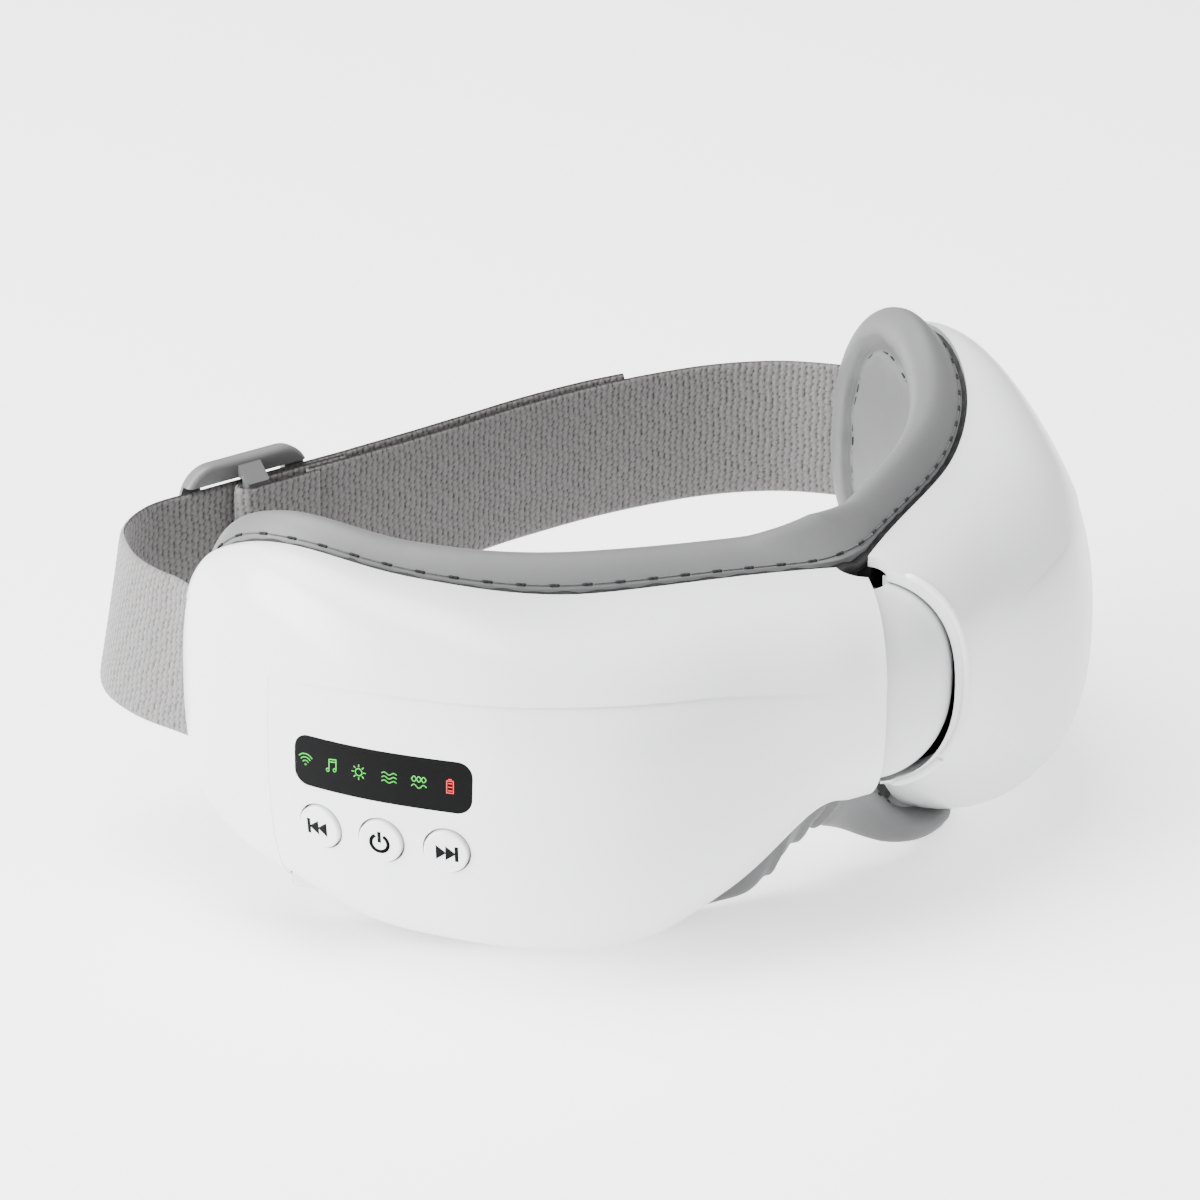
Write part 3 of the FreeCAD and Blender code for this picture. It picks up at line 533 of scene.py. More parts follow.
def bolster_ring(angle, count):
    """One line round the bolster: -90 lies against the shell, 0 is outermost, 90 the crest."""
    (s, z), (rim_s, rim_z) = soft_outlines(count)
    ds, dz, length = inward(s, z, pad_size)
    a = math.radians(angle)
    inset = np.minimum(BOLSTER_WIDTH * (1 - math.cos(a)) * tip_narrowing(s), length * 0.98)
    ring_s = s + ds * inset
    ring_z = z + dz * inset
    roll = min(1.0, max(0.0, (angle + 80) / 60))
    roll = roll * roll * (3 - 2 * roll)
    depth = BOLSTER_CENTRE + BOLSTER_DEPTH * math.sin(a)
    behind = PAD_FRONT + (depth - PAD_FRONT) * tip_thinning(ring_s)
    behind = behind - chin_lean(ring_s, ring_z) * roll
    ends = np.clip((np.abs(s) - 50) / 40, 0, 1)
    hold = max(0.0, -angle / 80) ** 1.6 * (1 - 0.45 * ends * ends * (3 - 2 * ends))
    out_s, out_z, _length = inward(rim_s, rim_z, lambda v: shell_size(v)[:2])
    ring_s = ring_s * (1 - hold) + (rim_s - out_s * RIM_MARGIN) * hold
    ring_z = ring_z * (1 - hold) + (rim_z - out_z * RIM_MARGIN) * hold
    behind = behind * (1 - hold) + 0.9 * hold
    corner = FRONT_CORNER + (CORNER - FRONT_CORNER) * roll
    return ring_s, ring_z, behind, corner


def gathers(s, z):
    """Ruching of the cover under the nose, -1 to 1, and nothing elsewhere."""
    window = np.exp(-((s + 4.0) / 9.0) ** 4) * np.clip((32 - z) / 12, 0, 1)
    return (0.6 * np.sin(s * 1.1 + 0.9 * np.sin(s * 0.37))
            + 0.4 * np.sin(s * 1.7 + 0.5 + 0.6 * np.sin(s * 0.6))) * window


def cushion():
    """Bolster round the whole mask with the eye pads inside it, one closed cover."""
    count = RING_POINTS
    (s, z), _rim = soft_outlines(count)
    ds, dz, length = inward(s, z, pad_size)
    narrow = tip_narrowing(s)
    rings = []
    front_s, front_z, front_behind, _corner = bolster_ring(FRONT_ANGLE, count)
    inner_ds, inner_dz, inner_length = inward(front_s, front_z, pad_size)
    for i in range(5, 0, -1):
        reach = inner_length * i / 5 * 0.999
        rings.append((front_s + inner_ds * reach, front_z + inner_dz * reach,
                      front_behind + PAD_FRONT, FRONT_CORNER))
    for angle in range(FRONT_ANGLE, 91, 8):
        rings.append(bolster_ring(angle, count))
    profile = cushion_profile()
    steps = [(np.minimum(inset * narrow, length * 0.98), depth) for inset, depth in profile]
    last_inset, last_depth = steps[-1]
    for i in range(1, 11):
        steps.append((last_inset + (length - last_inset) * i / 10,
                      last_depth + 0.5 * math.sin(i * math.pi / 20)))
    for inset, depth in steps:
        ring_s = s + ds * inset
        ring_z = z + dz * inset
        behind = PAD_FRONT + (depth - PAD_FRONT) * tip_thinning(ring_s)
        behind = behind - chin_lean(ring_s, ring_z)
        pucker = 0.5 * np.sin(s * 0.95 + z * 0.8) + 0.5 * np.sin(s * 0.61 - z * 0.43 + 1.3)
        near_seam = np.exp(-((inset - GROOVE * narrow) / 2.4) ** 2)
        rings.append((ring_s, ring_z, behind + 0.3 * pucker * near_seam, CORNER))
    points = []
    for ring_s, ring_z, behind, corner in rings:
        fold = gathers(ring_s, ring_z)
        x, y = plan(ring_s, -behind + 0.5 * fold, corner)
        points.append(np.stack([x, y, np.maximum(ring_z - 0.6 * fold, LOWEST)], -1))
    obj = make_mesh("cushion_cover", np.concatenate(points), ring_faces(len(rings), count))
    merge_close(obj, WELD)
    return obj


def tube(name, line, radius, sides=10):
    """Open tube with round ends along a line of mm points."""
    line = np.asarray(line, float)
    tangent = np.gradient(line, axis=0)
    tangent /= np.linalg.norm(tangent, axis=1, keepdims=True)
    points = []
    for i, (centre, way) in enumerate(zip(line, tangent)):
        away = min(i, len(line) - 1 - i) / 4
        r = radius * min(1.0, math.sqrt(max(0.0, 1 - (1 - min(away, 1.0)) ** 2)) + 0.02)
        u = np.cross(way, (0.0, 0.1, 1.0) if abs(way[2]) < 0.8 else (1.0, 0.0, 0.0))
        u /= np.linalg.norm(u)
        v = np.cross(way, u)
        for k in range(sides):
            a = 2 * math.pi * k / sides
            points.append(centre + r * (math.cos(a) * u + math.sin(a) * v))
    faces = ring_faces(len(line), sides)
    faces.append(tuple(range(sides))[::-1])
    faces.append(tuple((len(line) - 1) * sides + k for k in range(sides)))
    return make_mesh(name, np.array(points), faces)


def seam_cover():
    """Gathered strip between the shell's edge and the bolster."""
    count = RING_POINTS
    size = lambda s: shell_size(s)[:2]
    a_s, a_z = outline(size, HALF - 0.2, count)
    a_ds, a_dz, _length = inward(a_s, a_z, size)
    b_s, b_z, b_behind, b_corner = bolster_ring(SEAM_ANGLE, count)
    turn = np.arange(count) * 2 * math.pi / count
    ripple = np.sin(turn * 118) * 0.12 + np.sin(turn * 71) * 0.10
    rows = []
    total = 8
    for deeper in (0.0, 1.5):
        row = []
        for i in range(total):
            t = i / (total - 1)
            s = (a_s + a_ds * (0.9 + deeper)) * (1 - t) + (b_s + a_ds * deeper) * t
            z = (a_z + a_dz * (0.9 + deeper)) * (1 - t) + (b_z + a_dz * deeper) * t
            swell = math.sin(t * math.pi)
            s = s + a_ds * (0.35 - 1.6 * ripple) * swell
            z = z + a_dz * (0.35 - 1.6 * ripple) * swell
            behind = -0.1 * (1 - t) + (b_behind + 0.3) * t
            x, y = plan(s, -behind, b_corner)
            row.append(np.stack([x, y, np.maximum(z, LOWEST)], -1))
        rows += row if deeper == 0.0 else row[::-1]
    rows.append(rows[0])
    obj = make_mesh("seam_cover", np.concatenate(rows), ring_faces(len(rows), count))
    merge_close(obj, WELD)
    return obj


def capsule(start, end, radius, sides=6):
    """Rounded rod between two points, as points and faces."""
    axis = end - start
    length = np.linalg.norm(axis)
    axis = axis / length
    helper = np.array([0.0, 0.0, 1.0]) if abs(axis[2]) < 0.9 else np.array([1.0, 0.0, 0.0])
    u = np.cross(axis, helper)
    u /= np.linalg.norm(u)
    v = np.cross(axis, u)
    points = [start - axis * radius * 0.6]
    for t, r in ((0.0, 0.75), (0.12, 1.0), (0.88, 1.0), (1.0, 0.75)):
        centre = start + axis * length * t
        for k in range(sides):
            a = 2 * math.pi * k / sides
            points.append(centre + radius * r * (math.cos(a) * u + math.sin(a) * v))
    points.append(end + axis * radius * 0.6)
    faces = []
    for k in range(sides):
        j = (k + 1) % sides
        faces.append((0, 1 + j, 1 + k))
        for ring in range(3):
            base = 1 + ring * sides
            faces.append((base + k, base + j, base + sides + j, base + sides + k))
        last = 1 + 3 * sides
        faces.append((last + k, last + j, len(points) - 1))
    return points, faces


def rods(name, pairs, radius):
    points = []
    faces = []
    for start, end in pairs:
        p, f = capsule(np.asarray(start), np.asarray(end), radius)
        base = len(points)
        points.extend(p)
        faces.extend([tuple(base + i for i in face) for face in f])
    return make_mesh(name, np.array(points), faces)


STITCH_PITCH = 5.4       # one long stitch and one needle hole
INNER_PITCH = 2.6
INNER_LENGTH = 1.5
THREAD_RADIUS = 0.13
HOLE_SHADE_RADIUS = 0.24
INNER_RADIUS = 0.16


def stitch_line():
    """Long stitches with dark rods of painted shade at the needle holes between them, all round the
    bolster's front edge.
    """
    count = STITCH_POINTS
    s, z, behind, corner = bolster_ring(STITCH_ANGLE, count)
    x, y = plan(s, -behind + 0.1, corner)
    line = np.stack([x, y, np.maximum(z, FLOOR + 0.3)], -1)
    step = np.linalg.norm(np.diff(np.vstack([line, line[:1]]), axis=0), axis=1)
    run = np.concatenate([[0.0], np.cumsum(step)])
    closed = np.vstack([line, line[:1]])
    pitch = run[-1] / round(run[-1] / STITCH_PITCH)

    def place(d):
        d = d % run[-1]
        return np.array([np.interp(d, run, closed[:, k]) for k in range(3)])

    threads = []
    hole_shades = []
    for i in range(int(round(run[-1] / pitch))):
        d = i * pitch
        threads.append((place(d + 1.0), place(d + 2.8)))
        threads.append((place(d + 2.8), place(d + 4.5)))
        # dark rods of painted shade where the needle holes dip between stitches
        hole_shades.append((place(d - 0.8), place(d + 0.1)))
        hole_shades.append((place(d + 0.1), place(d + 0.75)))
    return (rods("stitch_threads", threads, THREAD_RADIUS),
            rods("stitch_hole_shades", hole_shades, HOLE_SHADE_RADIUS))


def inner_stitches():
    """Short stitches beside the inner seam, where the eye pads join the bolster."""
    s, z = outline(pad_size, HALF + PAD_OVERHANG, RING_POINTS)
    ds, dz, length = inward(s, z, pad_size)
    inset = np.minimum((GROOVE + 1.3) * tip_narrowing(s), length * 0.98)
    ring_s = s + ds * inset
    ring_z = z + dz * inset
    back = BOLSTER_CENTRE + BOLSTER_DEPTH - 1.75
    behind = PAD_FRONT + (back - PAD_FRONT) * tip_thinning(ring_s)
    behind = behind - chin_lean(ring_s, ring_z)
    x, y = plan(ring_s, -behind, CORNER)
    line = np.stack([x, y, ring_z], -1)
    step = np.linalg.norm(np.diff(line, axis=0), axis=1)
    run = np.concatenate([[0.0], np.cumsum(step)])
    pairs = []
    for d in np.arange(0.0, run[-1] - 2.0, INNER_PITCH):
        ends = [[np.interp(d + shift, run, line[:, k]) for k in range(3)]
                for shift in (0, INNER_LENGTH)]
        pairs.append(ends)
    return rods("inner_stitch_threads", pairs, INNER_RADIUS)


def hinge_collar():
    """Rounded lip round the hinge end of the wearer's left shell, beside the drum."""
    top, bottom, depth = (float(v) for v in shell_size(0.6))
    line = []
    for angle in np.linspace(-74, 72, 70):
        a = math.radians(angle)
        power = 2 / (UPPER_SQUARE if angle > 0 else LOWER_SQUARE)
        out = depth * math.cos(a) ** power
        share = math.copysign(abs(math.sin(a)) ** power, a)
        x, y = plan(0.6, out - 0.15)
        line.append((float(x), float(y), (top + bottom) / 2 + (top - bottom) / 2 * share))
    return tube("hinge_collar", line, 0.85)


collar = dress(hinge_collar(), SHELL_WHITE)
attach(collar, "right_half")
cover = dress(cushion(), PAD_LEATHER)
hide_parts("left_cushion", "right_cushion", "left_eye_pad", "right_eye_pad", "bridge_pad")
seam = dress(seam_cover(), SEAM_CLOTH_AND_SHADE)
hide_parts("left_seam_strip", "right_seam_strip")
threads, hole_shades = stitch_line()
dress(threads, THREAD)
dress(hole_shades, HOLE_SHADE_AND_DARK_THREAD)
inner_threads = inner_stitches()
# the inner threads share the near-black material used for the painted shade of the needle holes
dress(inner_threads, HOLE_SHADE_AND_DARK_THREAD)
for soft in (cover, seam, threads, hole_shades, inner_threads):
    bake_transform(soft)

# ---------------------------------------------------------------- strap
def between(knots, i, j, t, start, end):
    """The point at t on the way from start at knot i to end at knot j."""
    span = knots[j] - knots[i]
    return (knots[j] - t) / span * start + (t - knots[i]) / span * end


def smooth_path(points, step):
    """Evenly spaced points on a smooth curve through the given plan points."""
    points = np.asarray(points, float)
    padded = np.vstack([2 * points[0] - points[1], points, 2 * points[-1] - points[-2]])
    fine = []
    for i in range(1, len(padded) - 2):
        p0, p1, p2, p3 = padded[i - 1:i + 3]
        knots = np.cumsum([0.0] + [math.dist(a, b) ** 0.5 for a, b in
                                   ((p0, p1), (p1, p2), (p2, p3))])
        for t in np.linspace(knots[1], knots[2], 24, endpoint=False):
            a1 = between(knots, 0, 1, t, p0, p1)
            a2 = between(knots, 1, 2, t, p1, p2)
            a3 = between(knots, 2, 3, t, p2, p3)
            b1 = between(knots, 0, 2, t, a1, a2)
            b2 = between(knots, 1, 3, t, a2, a3)
            fine.append(between(knots, 1, 2, t, b1, b2))
    fine.append(points[-1])
    fine = np.array(fine)
    run = np.concatenate([[0.0], np.cumsum(np.hypot(*np.diff(fine, axis=0).T))])
    target = np.linspace(0, run[-1], max(8, int(run[-1] / step)))
    path = np.stack([np.interp(target, run, fine[:, k]) for k in range(2)], -1)
    return path, target


def yarns(u, v):
    """Height of the basket weave, zero in the hollows and one on the yarns."""
    column = np.floor(u / YARN_WIDTH)
    ends = 1 - np.abs(np.sin(math.pi * (v / YARN_LENGTH + 0.5 * column))) ** 0.9
    sides = 1 - np.abs(np.sin(math.pi * u / YARN_WIDTH)) ** 0.7
    loose = 0.75 + 0.25 * np.sin(2.4 * column + 1.7 * np.floor(v / YARN_LENGTH))
    return 1 - np.clip((0.35 * sides + 0.2 * ends + 1.9 * sides * ends) * loose, 0, 1)


WEBBING_THICKNESS = 1.2
LOOP_THICKNESS = 1.0


def ribbon(name, points, thickness, low=STRAP_LOW, width=STRAP_WIDTH, wave=0.26, lean=None):
    """Woven ribbon standing on edge along a plan path; its weave is in the mesh.
    lean gives how far the top edge tips to the right of the path, by distance along it."""
    step = 0.3
    path, run = smooth_path(points, step)
    tangent = np.gradient(path, axis=0)
    tangent /= np.linalg.norm(tangent, axis=1, keepdims=True)
    normal = np.stack([-tangent[:, 1], tangent[:, 0]], -1)
    across = np.linspace(0, 1, int(width / step))
    edge = np.clip(1 - np.abs(2 * across - 1) ** 24, 0, 1) ** 0.5
    u, v = np.meshgrid(run, across * width, indexing="ij")
    drift = rng.normal(0, 1, (len(run) // 24 + 2, 1))
    wobble = np.interp(np.arange(len(run)), np.arange(len(drift)) * 24, drift[:, 0])[:, None] * 0.05
    cell = yarns(u + 0.15 * np.sin(v * 0.9 + u * 0.21), v + 0.25 * np.sin(u * 0.37))
    tip = np.zeros_like(u) if lean is None else lean(run)[:, None] * (v / width)
    sides = []
    for side in (-1, 1):
        off = side * (thickness / 2 * edge[None, :] + wave * (cell - 0.8) * edge[None, :])
        off = off - tip + wobble
        x = path[:, 0:1] + normal[:, 0:1] * off
        y = path[:, 1:2] + normal[:, 1:2] * off
        sides.append(np.stack([x, y, low + v + 0 * x], -1))
    rows, columns = u.shape
    loop = 2 * columns
    points3 = np.concatenate([sides[0], sides[1][:, ::-1]], axis=1).reshape(-1, 3)
    uv_u = np.concatenate([u, u[:, ::-1]], axis=1).reshape(-1)
    uv_v = np.concatenate([v, v[:, ::-1]], axis=1).reshape(-1)
    faces = ring_faces(rows, loop)
    start_cap = []
    end_cap = []
    base = (rows - 1) * loop
    for j in range(columns - 1):
        k = loop - 1 - j
        start_cap.append((j + 1, j, k, k - 1))
        end_cap.append((base + j, base + j + 1, base + k - 1, base + k))
    uv = np.stack([uv_u, uv_v], -1) * 0.001
    obj = make_mesh(name, points3, faces + start_cap + end_cap, uv=uv)
    # the weave height is kept on the points so the strap material can paint shade into the hollows
    attribute = obj.data.attributes.new("weave", "FLOAT", "POINT")
    height = np.concatenate([cell, cell[:, ::-1]], axis=1).reshape(-1)
    attribute.data.foreach_set("value", height.astype(np.float32))
    return obj


def bend_lean(run):
    """The strap's top edge tips inwards where it rounds the wearer's right temple."""
    t = np.clip(run / 16.0, 0, 1) * np.clip((62.0 - run) / 30.0, 0, 1)
    return 4.6 * t * t * (3 - 2 * t)


def straight(first, last, offset):
    """Plan points on the strap's straight stretch, from the slider's middle."""
    points = []
    for i in range(5):
        reach = first + (last - first) * i / 4
        points.append((SLIDER_PLACE[0] + reach * math.cos(SLIDER_TURN)
                       - offset * math.sin(SLIDER_TURN),
                       SLIDER_PLACE[1] + reach * math.sin(SLIDER_TURN)
                       + offset * math.cos(SLIDER_TURN)))
    return points


def temple_points(side):
    """Where the strap enters a temple, from inside to outside."""
    x, y = plan(np.array([108.0, 115.0]), np.array([1.7, 1.7]))
    return [(side * x[0], y[0]), (side * x[1], y[1])]


SEWN_START = 10.8        # the slider's centre bar stops short of this at full travel


def right_route(offset):
    wide = offset + LAYER_STEP - 0.2
    route = straight(SEWN_START, 22.0, offset)
    route += [(4.0, 103.6 + wide), (22.0, 103.2 + wide), (40.0, 101.2 + wide),
              (57.0, 96.6 + wide * 0.7), (68.6, 89.6), (75.4, 81.5)]
    return route + temple_points(1)[::-1]


left_route = temple_points(-1) + [(-79.6, 88.0), (-77.2, 98.5), (-70.8, 106.6)]
left_route += straight(-22.0, 22.0, 0.0)
strap_left = dress(ribbon("strap_outer_layer", left_route, WEBBING_THICKNESS, lean=bend_lean),
                   STRAP_CLOTH)
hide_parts("strap_left")
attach(strap_left, "left_half")

strap_right = dress(ribbon("strap_sewn_layer", right_route(-LAYER_STEP), WEBBING_THICKNESS),
                    STRAP_CLOTH)
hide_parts("strap_right")
tail_route = straight(22.0, 24.0, 0.0)[:1]
tail_route += [(4.0, 106.3), (22.0, 105.9), (36.0, 104.5), (44.0, 102.9)]
strap_tail = dress(ribbon("strap_tail_layer", tail_route, WEBBING_THICKNESS),
                   STRAP_CLOTH)
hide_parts("strap_tail")
for layer in (strap_right, strap_tail):
    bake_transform(layer)


def in_slider(points):
    """Slider coordinates (along the strap, outwards) to plan."""
    turned = []
    for x, y in points:
        turned.append((SLIDER_PLACE[0] + x * math.cos(SLIDER_TURN) - y * math.sin(SLIDER_TURN),
                       SLIDER_PLACE[1] + x * math.sin(SLIDER_TURN) + y * math.cos(SLIDER_TURN)))
    return turned


loop_route = in_slider([(19.6, -1.35), (10.0, -1.35), (1.0, -1.35), (-2.6, -1.5), (-3.7, -2.9),
                        (-2.6, -4.3), (1.0, -4.45), (7.0, -4.45), (12.0, -4.3)])
sewn_loop = dress(ribbon("strap_sewn_loop", loop_route, LOOP_THICKNESS), STRAP_CLOTH)
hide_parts("strap_loop")
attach(sewn_loop, "slider")

BAR_GAP = 13.3           # half the height of the slider's opening
BAR_INSIDE = -3.7        # the centre bar's inner face, from the webbing's middle
BAR_MIDDLE = -1.5        # what is further in than this belongs to the bar
BAR_EDGE = 12.8          # its ends start this far above and below the webbing's middle
BAR_SLOPE = 0.9          # and rise this steeply to the frame


def sloped_slider():
    """The slider, its centre bar's ends sloping down from the frame to the webbing's edges."""
    obj = bpy.data.objects.new("slider_frame", frame["nodes"]["strap_slider"].data.copy())
    bpy.context.scene.collection.objects.link(obj)
    obj.data.materials.clear()
    low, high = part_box("strap_slider")
    middle = (low.z + high.z) / 2
    for vertex in obj.data.vertices:
        x = (vertex.co.x - HINGE.x) * 1000 - SLIDER_PLACE[0]
        y = (vertex.co.y - HINGE.y) * 1000 - SLIDER_PLACE[1]
        out = y * math.cos(SLIDER_TURN) - x * math.sin(SLIDER_TURN)
        rise = (vertex.co.z - middle) * 1000
        if abs(rise) > BAR_GAP + 0.1 and out < BAR_MIDDLE:
            slope = BAR_EDGE + (out - BAR_INSIDE) * BAR_SLOPE
            vertex.co.z = middle + math.copysign(slope, rise) * 0.001
    return obj


slider = dress(sloped_slider(), SLIDER_GREY)
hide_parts("strap_slider")
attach(slider, "slider")

# ---------------------------------------------------------------- symbols
def arc(cx, cy, radius, start, end, steps=14):
    points = []
    for i in range(steps + 1):
        a = math.radians(start + (end - start) * i / steps)
        points.append((cx + radius * math.cos(a), cy + radius * math.sin(a)))
    return points


def wave_line(cx, cy, length, height, turns, phase=0.0, steps=24):
    points = []
    for i in range(steps + 1):
        t = i / steps
        points.append((cx + length * (t - 0.5),
                       cy + height * math.sin(2 * math.pi * turns * t + phase)))
    return points


def symbol_wireless():
    dot = arc(0, -1.25, 0.12, 0, 360, 8)
    return [dot, arc(0, -1.25, 0.95, 40, 140), arc(0, -1.25, 1.75, 42, 138),
            arc(0, -1.25, 2.55, 44, 136)]


def symbol_music():
    return [[(-0.75, -1.1), (-0.75, 1.45), (1.15, 1.7), (1.15, -0.8)],
            [(-0.75, 0.85), (1.15, 1.1)],
            arc(-1.12, -1.15, 0.36, 0, 360), arc(0.78, -0.85, 0.36, 0, 360)]


def symbol_heat():
    lines = [arc(0, 0, 0.85, 0, 360, 18)]
    for k in range(8):
        a = math.radians(45 * k)
        lines.append([(1.3 * math.cos(a), 1.3 * math.sin(a)),
                      (1.75 * math.cos(a), 1.75 * math.sin(a))])
    return lines


def symbol_air():
    return [wave_line(0, h, 3.6, 0.26, 1.5) for h in (-0.95, 0.0, 0.95)]


def symbol_vibration():
    return [wave_line(0, 0.75, 3.6, 0.62, 1.5), wave_line(0, 0.75, 3.6, 0.62, 1.5, math.pi),
            wave_line(0, -0.95, 3.6, 0.4, 1.5)]


def symbol_battery():
    body = [(-0.8, -1.5), (0.8, -1.5), (0.8, 1.35), (-0.8, 1.35), (-0.8, -1.5)]
    return [body, [(-0.35, 1.7), (0.35, 1.7)], [(-0.4, -0.95), (0.4, -0.95)],
            [(-0.4, -0.1), (0.4, -0.1)], [(-0.4, 0.75), (0.4, 0.75)]]


def strokes(name, lines, width, depth, place):
    """Thin raised strokes along 2-D lines; place maps (x, y, lift) to mm points."""
    points = []
    faces = []
    for line in lines:
        for (x0, y0), (x1, y1) in zip(line[:-1], line[1:]):
            length = math.hypot(x1 - x0, y1 - y0)
            if length < 1e-6:
                continue
            tx, ty = (x1 - x0) / length, (y1 - y0) / length
            nx, ny = -ty * width / 2, tx * width / 2
            ex, ey = tx * width * 0.35, ty * width * 0.35
            corners = [(x0 - ex + nx, y0 - ey + ny), (x0 - ex - nx, y0 - ey - ny),
                       (x1 + ex - nx, y1 + ey - ny), (x1 + ex + nx, y1 + ey + ny)]
            base = len(points)
            for lift in (0.005, depth):
                points.extend(place(x, y, lift) for x, y in corners)
            faces += [(base, base + 3, base + 2, base + 1),
                      (base + 4, base + 5, base + 6, base + 7)]
            for k in range(4):
                j = (k + 1) % 4
                faces.append((base + k, base + j, base + 4 + j, base + 4 + k))
    return make_mesh(name, np.array(points), faces, smooth=False)


def polygons(name, shapes, depth, place):
    """Filled flat shapes standing a little proud."""
    points = []
    faces = []
    for shape in shapes:
        base = len(points)
        n = len(shape)
        for lift in (0.005, depth):
            points.extend(place(x, y, lift) for x, y in shape)
        faces.append(tuple(base + n + k for k in range(n)))
        faces.append(tuple(base + n - 1 - k for k in range(n)))
        for k in range(n):
            j = (k + 1) % n
            faces.append((base + k, base + j, base + n + j, base + n + k))
    return make_mesh(name, np.array(points), faces, smooth=False)


def on_display(s_middle):
    """Symbol coordinates, x to the viewer's right, to the lens surface of the -X half."""
    here, _n = face_point(-s_middle, ICON_HEIGHT)
    ahead, _n = face_point(-s_middle + 1.0, ICON_HEIGHT)
    above, _n = face_point(-s_middle, ICON_HEIGHT + 1.0)
    per_s = float(np.linalg.norm(ahead - here))
    per_z = float(np.linalg.norm(above - here))

    def place(x, y, lift):
        point, _normal = face_point(-s_middle + x / per_s, ICON_HEIGHT + y / per_z, lift + 0.02)
        return tuple(point)
    return place


SYMBOLS = ((87.2, "symbol_wireless", symbol_wireless, GLOW_GREEN),
           (83.4, "symbol_music", symbol_music, GLOW_GREEN),
           (79.7, "symbol_heat", symbol_heat, GLOW_GREEN),
           (75.7, "symbol_air", symbol_air, GLOW_GREEN),
           (71.9, "symbol_vibration", symbol_vibration, GLOW_GREEN),
           (68.0, "symbol_battery", symbol_battery, GLOW_RED))
SYMBOL_WIDE = 0.68       # drawings are shrunk to these shares
SYMBOL_HIGH = 0.72
SYMBOL_STROKE = 0.16
SYMBOL_DEPTH = 0.05
for s_middle, name, drawing, material in SYMBOLS:
    lines = [[(x * SYMBOL_WIDE, y * SYMBOL_HIGH) for x, y in line] for line in drawing()]
    symbol = strokes(name, lines, SYMBOL_STROKE, SYMBOL_DEPTH, on_display(s_middle))
    dress(symbol, material)
    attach(symbol, "left_half")


def button_frame(s):
    here, normal = face_point(-s, BUTTON_HEIGHT)
    ahead = face_point(-s + 0.5, BUTTON_HEIGHT)[0] - face_point(-s - 0.5, BUTTON_HEIGHT)[0]
    x_axis = ahead / np.linalg.norm(ahead)
    y_axis = np.cross(normal, x_axis)

    def place(x, y, lift):
        return tuple(here + x_axis * x + y_axis * y + normal * (0.7 + lift))
    return place


def triangle(x, size, side, tall):
    return [(x, -tall / 2), (x + side * size, 0), (x, tall / 2)][::side]


def rectangle(x, y, wide, high):
    return [(x - wide / 2, y - high / 2), (x + wide / 2, y - high / 2),
            (x + wide / 2, y + high / 2), (x - wide / 2, y + high / 2)]


def skip_shapes(side):
    return [triangle(-1.6 * side, 1.75, side, 2.6), triangle(0.0, 1.75, side, 2.6),
            rectangle(1.85 * side, 0, 0.6, 2.7)]


MARK_STROKE = 0.6
MARK_DEPTH = 0.04
BODY_OF = {"button_previous": "previous_cap", "button_power": "power_cap",
           "button_next": "next_cap"}
for name, side in (("button_previous", -1), ("button_next", 1)):
    mark = polygons(name + "_mark", skip_shapes(side), MARK_DEPTH, button_frame(BUTTONS[name]))
    dress(mark, INK)
    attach(mark, BODY_OF[name])
power_lines = [arc(0, -0.15, 1.5, 125, 415, 26), [(0, 0.2), (0, 1.75)]]
mark = strokes("button_power_mark", power_lines, MARK_STROKE, MARK_DEPTH,
               button_frame(BUTTONS["button_power"]))
dress(mark, INK)
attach(mark, BODY_OF["button_power"])

# ---------------------------------------------------------------- floor, light, camera
def plain_floor():
    mesh = bpy.data.meshes.new("floor")
    size = 6.0
    mesh.from_pydata([(-size, -size, 0), (size, -size, 0), (size, size, 0), (-size, size, 0)],
                     [], [(0, 1, 2, 3)])
    obj = bpy.data.objects.new("floor", mesh)
    bpy.context.scene.collection.objects.link(obj)
    mat, _nodes, _links, bsdf = new_material("floor_white", (0.95, 0.95, 0.955), 0.6)
    bsdf.inputs["Emission Color"].default_value = (1.0, 1.0, 1.0, 1)
    bsdf.inputs["Emission Strength"].default_value = 1.2
    obj.data.materials.append(mat)
    obj.location.z = -0.0002


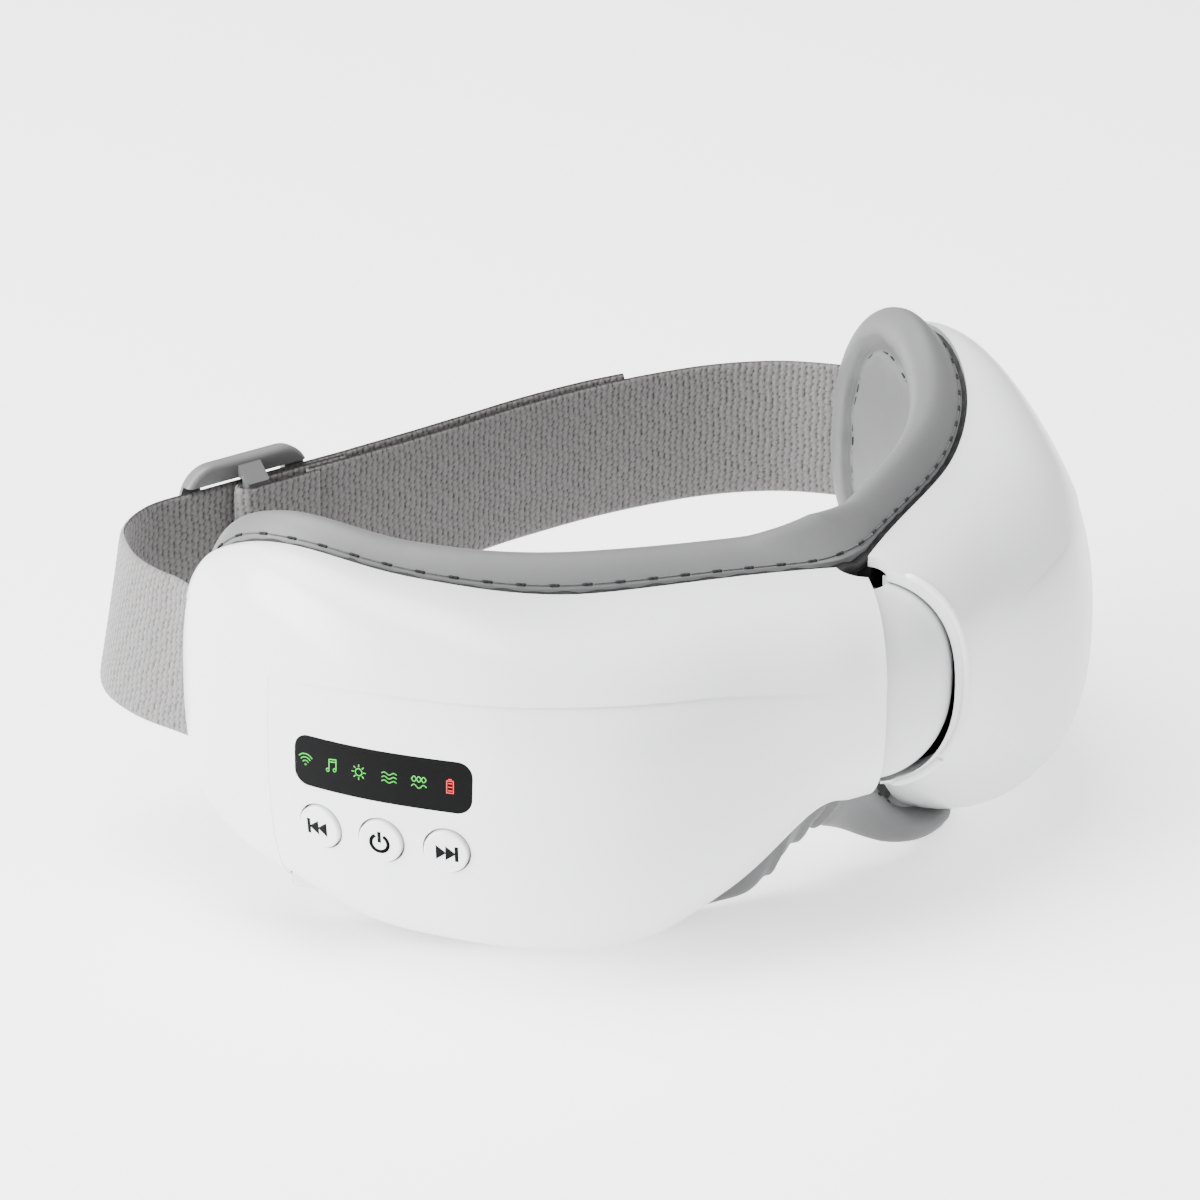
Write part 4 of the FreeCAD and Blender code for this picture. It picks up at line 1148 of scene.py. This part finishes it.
def area_light(name, place, target, size, power, colour=(1, 1, 1)):
    data = bpy.data.lights.new(name, "AREA")
    data.shape = "RECTANGLE"
    data.size, data.size_y = size
    data.energy = power
    data.color = colour
    obj = bpy.data.objects.new(name, data)
    obj.location = place
    obj.rotation_euler = (Vector(target) - Vector(place)).to_track_quat("-Z", "Y").to_euler()
    bpy.context.scene.collection.objects.link(obj)


plain_floor()
world = bpy.data.worlds.new("studio")
world.use_nodes = True
world.node_tree.nodes["Background"].inputs["Color"].default_value = (1.0, 1.0, 1.0, 1)
world.node_tree.nodes["Background"].inputs["Strength"].default_value = 0.55
bpy.context.scene.world = world
area_light("top_box", (-0.25, 0.25, 1.2), (0, 0, 0.03), (1.0, 1.0), 40)
area_light("left_box", (-1.2, 0.35, 0.6), (0, 0, 0.03), (0.9, 0.9), 55)
area_light("front_box", (-0.5, -1.4, 0.5), (0, 0, 0.03), (0.8, 0.4), 1.5)

CAMERA_TURN = math.radians(-43.31)
CAMERA_RISE = math.radians(22.79)
CAMERA_ROLL = math.radians(0.71)
CAMERA_PLACE = (-685.99, -666.35, 455.78)      # mm from the hinge axis
SENSOR_WIDTH = 36.0                            # mm
FOCAL_LENGTH = 192.291                         # mm
back = Vector((math.sin(CAMERA_TURN) * math.cos(CAMERA_RISE),
               -math.cos(CAMERA_TURN) * math.cos(CAMERA_RISE), math.sin(CAMERA_RISE)))
level = Vector((math.cos(CAMERA_TURN), math.sin(CAMERA_TURN), 0))
upward = back.cross(level)
right = math.cos(CAMERA_ROLL) * level + math.sin(CAMERA_ROLL) * upward
upward = back.cross(right)
camera_data = bpy.data.cameras.new("camera")
camera_data.sensor_width = SENSOR_WIDTH
camera_data.lens = FOCAL_LENGTH
camera_data.clip_start = 0.05
camera = bpy.data.objects.new("camera", camera_data)
bpy.context.scene.collection.objects.link(camera)
rotation = Matrix((right, upward, back)).transposed().to_4x4()
camera.matrix_world = Matrix.Translation(Vector(to_frame(CAMERA_PLACE)[0])) @ rotation
bpy.context.scene.camera = camera
